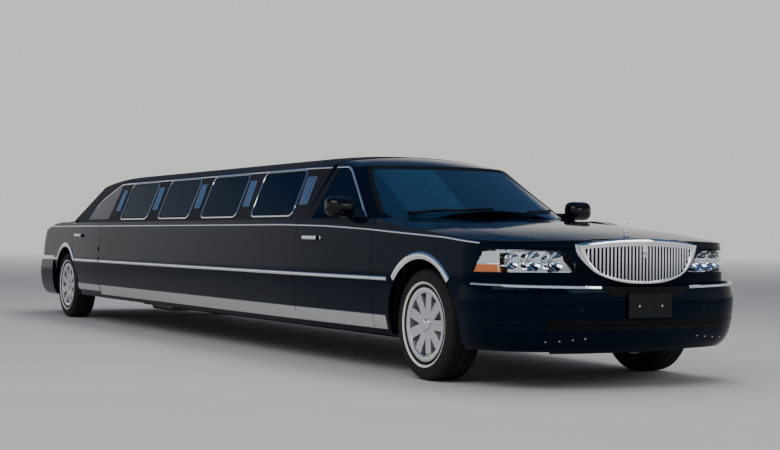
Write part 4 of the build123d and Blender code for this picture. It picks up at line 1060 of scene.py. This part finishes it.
def drop_on(tree, x, y):
    """The height of a top surface; rays beside the first one serve where it slips through an edge."""
    for aside in (0.0, 0.0013, 0.0031, 0.0057):
        hit = cast(tree, "top", x + aside, y + aside * 0.7)[0]
        if hit and hit.z > 0.90:
            return hit.z
    return 0.0


grid = []
for x in np.linspace(DOOR_EDGE + 0.0035, DOOR_EDGE + RISE_LENGTH, 18):
    share = 1 - (x - DOOR_EDGE) / RISE_LENGTH
    line = []
    base = drop_on(fender_tree, x, -0.806)
    for y in np.linspace(-0.812, -0.924, 14):
        door_top = drop_on(door_tree, DOOR_EDGE - 0.012, y)
        step = max(0.0, door_top - drop_on(fender_tree, DOOR_EDGE + 0.006, y))
        base = drop_on(fender_tree, x, y) or base - 0.0013
        line.append((x, y, base + min(step, RISE_MOST) * share * share * (3 - 2 * share) + 0.0006))
    low, high = line[0], line[-1]
    grid.append([(x, low[1] + 0.003, low[2] - 0.025), *line, (x, high[1] - 0.004, high[2] - 0.038)])
Piece("fender_rise", paint).both(*sheet(grid))

# A plain upright ornament on the hood.
foot = cast(tree_of("hood"), "top", FRONT_X + 0.820, 0)[0]
stem_x = foot.x - 0.002
ornament = Piece("hood_ornament", chrome, "hood")
ornament.add(*ball((foot.x, 0, foot.z + 0.002), (0.026, 0.012, 0.009)))
ornament.add(*rod([(foot.x, 0, foot.z), (foot.x - 0.001, 0, foot.z + 0.022)], [0.0065, 0.004]))
stand = rounded([(-0.013, 0.022), (0.013, 0.022), (0.013, 0.088), (-0.013, 0.088)], 0.006)
ornament.add(*rod([(stem_x, y, foot.z + z) for y, z in stand], 0.0028, 8, True))
ornament.add(*rod([(stem_x, 0, foot.z + z) for z in (0.022, 0.088)], 0.002))
ornament.add(*rod([(stem_x, y, foot.z + 0.062) for y in (-0.013, 0.013)], 0.002))

# Seals round the windshield and the rear window.
SEAL = [(-0.010, -0.002), (-0.010, 0.003), (0.0, 0.005), (0.010, 0.002), (0.013, -0.002)]
shield_tree = tree_of("roof", "windshield")
seals = Piece("screen_seals", gasket)
for tree, view, corners, radius, side in (
    (shield_tree, "front", [(-0.742, 1.014), (0.742, 1.014), (0.566, 1.376), (-0.566, 1.376)], 0.045, 1),
    (tree_of("roof", "rear_window"), "rear",
     [(-0.700, 1.060), (0.700, 1.060), (0.560, 1.392), (-0.560, 1.392)], 0.06, -1),
):
    seals.lay(tree, view, rounded(corners, radius), scaled(SEAL, side), 0.03, True)

# Wipers parked along the foot of the windshield.
wipers = Piece("wipers", plastic)
WIPER_LOW, WIPER_RISE = 1.040, 0.030


def on_shield(y, z, lift):
    hit, normal = cast(shield_tree, "front", y, z)
    return hit + normal * lift


for low_y, high_y in ((-0.60, -0.02), (0.03, 0.61)):
    line = [(low_y + (high_y - low_y) * k / 12, WIPER_LOW + WIPER_RISE * k / 12) for k in range(13)]
    blade = [on_shield(y, z, 0.012) for y, z in line]
    wipers.add(*rod(blade, 0.006))
    wipers.add(*rod([p - Vector((0.004, 0, 0.006)) for p in blade], 0.003, 6))
    root, middle = on_shield(low_y + 0.02, 1.030, 0.016), blade[7]
    elbow = root + (middle - root) * 0.5 + Vector((0.012, 0, 0.010))
    wipers.add(*rod([root, elbow, middle], [0.009, 0.006, 0.004]))
    wipers.add(*ball(tuple(root), (0.016, 0.016, 0.014)))

# Door handles with bright caps, and locks on the front doors.
HANDLES = (("front_door_right", FRONT_X - 1.482, True), ("rear_door_right", FRONT_X - 7.037, False))
for body, x, has_lock in HANDLES:
    cap_skins = [plate_box(x - 0.1087, x + 0.1087, -1.0000, -0.9862, 0.8583, 0.8877, 0.0065)]
    if has_lock:
        lock = [(x + 0.150, y, 0.873) for y in (-0.950, -0.9815, -0.9830)]
        cap_skins.append(rod(lock, [0.013, 0.013, 0.010], 20))
    grip = plate_box(x - 0.1040, x + 0.1040, -0.9875, -0.9600, 0.8610, 0.8850, 0.0050)
    for side, name in ((1, body), (-1, body.replace("right", "left"))):
        cap = Piece(f"handle_cap_{name}", chrome, name)
        for skin in cap_skins:
            cap.add(*placed(skin, side))
        Piece(f"door_handle_{name}", paint, name).add(*placed(grip, side))

# Door mirrors with their glass.
# Slices of a head. Columns: X ahead of its rear face, half width, half height, shift inward.
MIRROR_SLICES = (
    (0.008, 0.082, 0.052, 0.0), (0.0, 0.083, 0.053, 0.0), (0.0, 0.093, 0.063, 0.0),
    (0.004, 0.096, 0.066, 0.0), (0.020, 0.099, 0.068, 0.0), (0.040, 0.100, 0.0685, 0.001),
    (0.062, 0.098, 0.066, 0.002),
    (0.080, 0.091, 0.060, 0.003), (0.096, 0.078, 0.050, 0.005), (0.108, 0.060, 0.038, 0.007),
    (0.116, 0.038, 0.024, 0.008), (0.119, 0.015, 0.010, 0.008),
)
MIRROR_X, MIRROR_Y, MIRROR_Z = FRONT_X - 1.060, -0.985, 1.083
mirror_foot = rounded([(-0.985, 1.009), (-1.100, 1.009), (-1.110, 1.066), (-1.062, 1.066)], 0.010)
for side, name in ((1, "right"), (-1, "left")):
    pane = soft_rectangle(0.080, 0.050, 0.030, 6)
    rings = [[(MIRROR_X + x, MIRROR_Y * side + y, MIRROR_Z + z) for y, z in pane] for x in (0.0055, 0.0075)]
    Piece(f"mirror_glass_{name}", mirror_face, f"front_door_{name}").add(*tube(rings))
    head = Piece(f"mirror_head_{name}", plastic_gloss, f"front_door_{name}", stands_for=[f"mirror_{name}"])
    rings = []
    for set_on, half_y, half_z, lean in MIRROR_SLICES:
        outline = soft_rectangle(half_y, half_z, half_z * 0.86, 8)
        rings.append([(MIRROR_X + set_on, (MIRROR_Y + lean + y) * side, MIRROR_Z + z) for y, z in outline])
    head.add(*tube(rings))
    foot_ends = (-0.940, -0.900, -0.784)
    head.add(*tube([[(FRONT_X + x, y * side, z) for x, z in mirror_foot] for y in foot_ends]))

# Tail: a bright band on the lid, lamp bars, exhaust tips, and the line of the fuel door on the left.
lid_band = even((-0.012, -0.003), (-0.012, 0.003), (-0.006, 0.007))
lid_tree = tree_of("trunk_lid")
Piece("lid_band", chrome, "trunk_lid").add(*wrapped(lid_tree, TAIL_X, 136, 224, 0.722, lid_band, 80))
tail_tree, ribs = tree_of("tail_lamps"), Piece("tail_lamp_ribs", chrome)
for height in (0.760, 0.800, 0.840):
    for rings in strip(tail_tree, "rear", [(-0.90, height), (-0.69, height)], scaled(bright_band, 0.4, 0.5)):
        ribs.both(*tube(rings))
tips = Piece("exhaust_tips", chrome)
tip = ((0.02, 0.0305), (0.02, 0.034), (-0.06, 0.035), (-0.066, 0.033), (-0.060, 0.0315), (0.0, 0.030))
for y in (-0.25, 0.25):
    tips.add(*about_x(tip, (REAR_X - 1.29, y, 0.250), 32))
fuel_corners = ((0.52, 0.79), (0.34, 0.79), (0.34, 0.93), (0.52, 0.93))
fuel_door = rounded([(REAR_X - x, z) for x, z in fuel_corners], 0.02)
fuel_line = even((-0.0015, -0.001), (-0.0015, 0.0007))
for rings in strip(tree_of("rear_quarters"), "side", fuel_door, fuel_line, 0.012, True):
    Piece("fuel_door_line", gasket).add(*mirrored(*tube(rings, True)))

# Seats

# Pads as simulated: length along the seams, width across them, thickness, then the seams across the width.
REAR_SEAMS, BENCH_SEAMS = (-0.30, -0.10, 0.10, 0.30), (-0.275, -0.09, 0.09, 0.275)
PAD_SHAPES = {
    "front_cushion": ((0.485, 0.500, 0.128), (-0.125, 0.125)),
    "front_back": ((0.500, 0.490, 0.098), (-0.120, 0.120)),
    "headrest": ((0.140, 0.240, 0.080), ()),
    "rear_cushion": ((0.460, 0.900, 0.105), REAR_SEAMS),
    "rear_back": ((0.300, 0.900, 0.098), REAR_SEAMS),
    "bench_cushion": ((0.440, 0.826, 0.125), BENCH_SEAMS),
    "bench_back": ((0.232, 0.826, 0.080), BENCH_SEAMS),
}
PAD_VOXEL, PAD_EDGE = 0.017, 0.022
# A pad's point lies on its rim or in a channel when it is this near, and a channel is drawn in by this.
PAD_NEAR, CHANNEL_DEPTH = PAD_VOXEL * 0.55, 0.007
# Steps of cloth simulation, the most that a point may move, and the cloth.
PAD_STEPS, PAD_CAP = 20, 0.016
CLOTH = {
    "quality": 4, "use_pressure": True, "uniform_pressure_force": 4.0, "vertex_group_mass": "held",
    "tension_stiffness": 8.0, "compression_stiffness": 8.0, "bending_stiffness": 1.5,
}


def mesh_of(thing):
    """A new mesh of an object with its modifiers applied."""
    return bpy.data.meshes.new_from_object(thing.evaluated_get(bpy.context.evaluated_depsgraph_get()))


def pad_block(name, size, seams):
    """A rounded block, remeshed, whose underside, rim seam and channels are held still."""
    x, y, z = (side / 2 for side in size)
    mesh = bpy.data.meshes.new(f"pad_{name}")
    corners, faces = plate_box(-x, x, -y, y, -z, z, PAD_EDGE)
    mesh.from_pydata(corners, [], faces)
    block = bpy.data.objects.new(f"pad_{name}", mesh)
    bpy.context.scene.collection.objects.link(block)
    mesher = block.modifiers.new("remesh", "REMESH")
    mesher.mode, mesher.voxel_size = "VOXEL", PAD_VOXEL
    fine = mesh_of(block)
    block.modifiers.clear()
    block.data = fine
    held = block.vertex_groups.new(name="held")
    for v in fine.vertices:
        on_side = abs(v.co.x) > x - 0.008 or abs(v.co.y) > y - 0.008
        rim = on_side and abs(v.co.z - (z - PAD_EDGE)) < PAD_NEAR
        channel = any(abs(v.co.y - seam) < PAD_NEAR for seam in seams) and v.co.z > 0 and not on_side
        if v.co.z < -z + 0.010 or rim or channel:
            held.add([v.index], 1.0, "REPLACE")
        if channel:
            v.co.z -= CHANNEL_DEPTH
    return block


def simulate(blocks):
    """Swell all pads together by cloth simulation, cap how far each point moves, and keep the meshes."""
    starts = [np.array([v.co for v in block.data.vertices]) for block in blocks]
    for block in blocks:
        cloth = block.modifiers.new("cloth", "CLOTH")
        for key, value in CLOTH.items():
            setattr(cloth.settings, key, value)
        cloth.settings.effector_weights.gravity = 0.0
        cloth.collision_settings.use_collision = False
        cloth.collision_settings.use_self_collision = False
        cloth.point_cache.frame_start, cloth.point_cache.frame_end = 1, PAD_STEPS
    for step in range(1, PAD_STEPS + 1):
        bpy.context.scene.frame_set(step)
    for block, start in zip(blocks, starts):
        swollen = mesh_of(block)
        move = np.array([v.co for v in swollen.vertices]) - start
        reach = np.linalg.norm(move, axis=1, keepdims=True)
        ends = start + move * (PAD_CAP * np.tanh(reach / PAD_CAP)) / np.maximum(reach, 1e-9)
        swollen.vertices.foreach_set("co", ends.ravel())
        block.modifiers.clear()
        block.data = swollen
    bpy.context.scene.frame_set(1)


def pad_skin(block):
    """Corners and faces of a pad after one subdivision."""
    smooth = block.modifiers.new("smooth", "SUBSURF")
    smooth.levels = smooth.render_levels = 1
    mesh = mesh_of(block)
    return np.array([v.co for v in mesh.vertices]), [list(p.vertices) for p in mesh.polygons]


pad_blocks = {name: pad_block(name, size, seams) for name, (size, seams) in PAD_SHAPES.items()}
simulate(list(pad_blocks.values()))
pad_skins = {name: pad_skin(block) for name, block in pad_blocks.items()}
for block in pad_blocks.values():
    bpy.data.objects.remove(block)

piping = Piece("seat_piping", thread)


def pad(name, shape, middle, lean=0.0, faces_right=False, stands_for=()):
    """One pad: lying flat at lean 0, or standing and leaning back by lean degrees from upright."""
    corners, faces = pad_skins[shape]
    axes = np.eye(3)
    if lean:
        t = math.radians(lean)
        axes = np.array(((-math.sin(t), 0, math.cos(t)), (0, -1, 0), (math.cos(t), 0, math.sin(t))))
    if faces_right:
        axes = axes @ np.array(((0, -1, 0), (1, 0, 0), (0, 0, 1)))
    made = Piece(name, leather, sharp=60.0, stands_for=stands_for, is_pad=True)
    made.add(corners @ axes + np.array(middle), faces)
    half_x, half_y, half_z = (side / 2 for side in PAD_SHAPES[shape][0])
    loop = soft_rectangle(half_x + 0.0005, half_y + 0.0005, PAD_EDGE)
    path = [np.array((x, y, half_z - PAD_EDGE)) @ axes + np.array(middle) for x, y in loop]
    piping.add(*rod(path, 0.0035, 6, True))


seat_base, posts = Piece("seat_bases", plastic), Piece("headrest_posts", chrome)
for y, name, stands in ((-0.400, "right", ["front_seats"]), (0.400, "left", [])):
    pad(f"seat_cushion_{name}", "front_cushion", (FRONT_X - 1.405, y, 0.468), stands_for=stands)
    pad(f"seat_back_{name}", "front_back", (FRONT_X - 1.660, y, 0.820), 12.0)
    pad(f"headrest_{name}", "headrest", (FRONT_X - 1.763, y, 1.150), 6.0)
    seat_base.add(*plate_box(FRONT_X - 1.650, FRONT_X - 1.160, y - 0.250, y + 0.250, 0.312, 0.402, 0.010))
    seat_base.add(*plate_box(FRONT_X - 1.662, FRONT_X - 1.628, y - 0.262, y + 0.262, 0.330, 0.560, 0.010))
    for offset in (-0.06, 0.06):
        posts.add(*rod([(FRONT_X - 1.705, y + offset, 1.040), (FRONT_X - 1.758, y + offset, 1.110)], 0.006))
pad("rear_cushion", "rear_cushion", (REAR_X + 0.262, 0.0, 0.680), stands_for=["rear_seat"])
pad("rear_back", "rear_back", (REAR_X + 0.030, 0.0, 0.912), 15.5)
seat_base.add(*plate_box(REAR_X + 0.030, REAR_X + 0.490, -0.455, 0.455, 0.562, 0.626, 0.010))
BENCH_X0, BENCH_X1, SECTIONS = REAR_X + 0.900, FRONT_X - 2.400, 5
for section in range(SECTIONS):
    x = BENCH_X0 + (BENCH_X1 - BENCH_X0) * (section + 0.5) / SECTIONS
    stands = [] if section else ["side_bench"]
    pad(f"bench_cushion_{section}", "bench_cushion", (x, 0.532, 0.624), faces_right=True, stands_for=stands)
    pad(f"bench_back_{section}", "bench_back", (x, 0.735, 0.832), 4.0, faces_right=True)
seat_base.add(*plate_box(BENCH_X0 + 0.005, BENCH_X1 - 0.005, 0.312, 0.762, 0.312, 0.558, 0.012))

# The vinyl's front hem across the roof.
hem = [(SEAM_X, -0.70), (SEAM_X, 0.70)]
Piece("roof_hem", gasket).lay(tree_of("roof", "side_panels"), "top", hem, bent(0.014, 0.003), 0.03)

for piece in Piece.made.values():
    piece.make()

# Stage

PHOTO_WIDTH, PHOTO_FOCUS = 780.0, 1464.4
BACK_COLOR = (0.74, 0.735, 0.72, 1.0)
HIGH_COLOR = (0.055, 0.105, 0.22, 1.0)
FILL_COLOR, FILL_STRENGTH = (0.86, 0.90, 1.0, 1.0), 0.55
FLOOR_REACH, FADE_FROM, FADE_TO = 150.0, 16.0, 60.0


def show(name, data):
    """A new object in the scene."""
    made = bpy.data.objects.new(name, data)
    bpy.context.scene.collection.objects.link(made)
    return made


def camera():
    """The photograph's viewpoint, from the wheels, windows and doors in it."""
    yaw, pitch, roll = math.radians(28.649), math.radians(0.474), math.radians(0.489)
    look = Vector((-math.cos(yaw) * math.cos(pitch), math.sin(yaw) * math.cos(pitch), math.sin(pitch)))
    right = look.cross(Vector((0, 0, 1))).normalized()
    up = right.cross(look)
    right, up = right * math.cos(roll) + up * math.sin(roll), up * math.cos(roll) - right * math.sin(roll)
    data = bpy.data.cameras.new("camera")
    data.sensor_width = 36.0
    data.lens = data.sensor_width * PHOTO_FOCUS / PHOTO_WIDTH
    data.clip_end = 400.0
    eye = show("camera", data)
    eye.matrix_world = Matrix((
        (right.x, up.x, -look.x, FRONT_X + 7.808),
        (right.y, up.y, -look.y, -5.420),
        (right.z, up.z, -look.z, 0.880),
        (0, 0, 0, 1),
    ))
    bpy.context.scene.camera = eye


def world():
    """Soft fill light; what is seen or mirrored of the background is pale low down and blue above."""
    space = bpy.data.worlds.new("studio")
    space.use_nodes = True
    bpy.context.scene.world = space
    fill = space.node_tree.nodes["Background"]
    fill.inputs["Color"].default_value = FILL_COLOR
    fill.inputs["Strength"].default_value = FILL_STRENGTH
    split = add(space, "ShaderNodeSeparateXYZ")
    link(space, add(space, "ShaderNodeTexCoord").outputs["Generated"], split.inputs[0])
    ramp = add(space, "ShaderNodeValToRGB")
    low, high = ramp.color_ramp.elements
    low.position, low.color = 0.165, BACK_COLOR
    high.position, high.color = 0.34, HIGH_COLOR
    link(space, split.outputs["Z"], ramp.inputs[0])
    shown = add(space, "ShaderNodeBackground")
    link(space, ramp.outputs[0], shown.inputs[0])
    path = add(space, "ShaderNodeLightPath")
    seen = path.outputs["Is Camera Ray"]
    for name in ("Is Glossy Ray", "Is Transmission Ray"):
        seen = compute(space, "MAXIMUM", seen, path.outputs[name])
    mix_shaders(space, seen, fill.outputs[0], shown.outputs[0], "World Output")


def floor():
    """A plain pale floor that fades into the background far away."""
    mesh = bpy.data.meshes.new("floor")
    corners = [(x * FLOOR_REACH, y * FLOOR_REACH, 0) for x, y in ((-1, -1), (1, -1), (1, 1), (-1, 1))]
    mesh.from_pydata(corners, [], [(0, 1, 2, 3)])
    ground = show("floor", mesh)
    mat = material("floor_finish", (0.50, 0.49, 0.47), Roughness=0.9, Specular_Ior_Level=0.1)
    two_colors(mat, noise(mat, 1.5, 6.0), (0.50, 0.49, 0.47), (0.54, 0.53, 0.51))
    glow = add(mat, "ShaderNodeEmission", Color=BACK_COLOR)
    away = add(mat, "ShaderNodeVectorMath", operation="LENGTH")
    link(mat, coords(mat), away.inputs[0])
    fade = remap(mat, away.outputs["Value"], FADE_FROM, FADE_TO, 0.0, 1.0)
    mix_shaders(mat, fade, shader_of(mat).outputs[0], glow.outputs[0])
    mesh.materials.append(mat)


def lamp(name, spot, target, size, power, in_mirrors=True):
    data = bpy.data.lights.new(name, "AREA")
    data.shape = "RECTANGLE"
    data.size, data.size_y = size
    data.energy = power
    holder = show(name, data)
    holder.location = spot
    holder.rotation_euler = (Vector(target) - Vector(spot)).to_track_quat("-Z", "Y").to_euler()
    holder.visible_glossy = in_mirrors


camera()
world()
floor()
lamp("key", (7.0, -7.0, 6.5), (0.5, 0.0, 0.5), (9.0, 4.0), 420.0)
lamp("front", (11.0, 3.0, 3.5), (4.0, 0.0, 0.5), (5.0, 2.0), 120.0)
lamp("overhead", (0.0, 1.5, 6.5), (0.0, 0.0, 1.0), (12.0, 2.5), 260.0, in_mirrors=False)
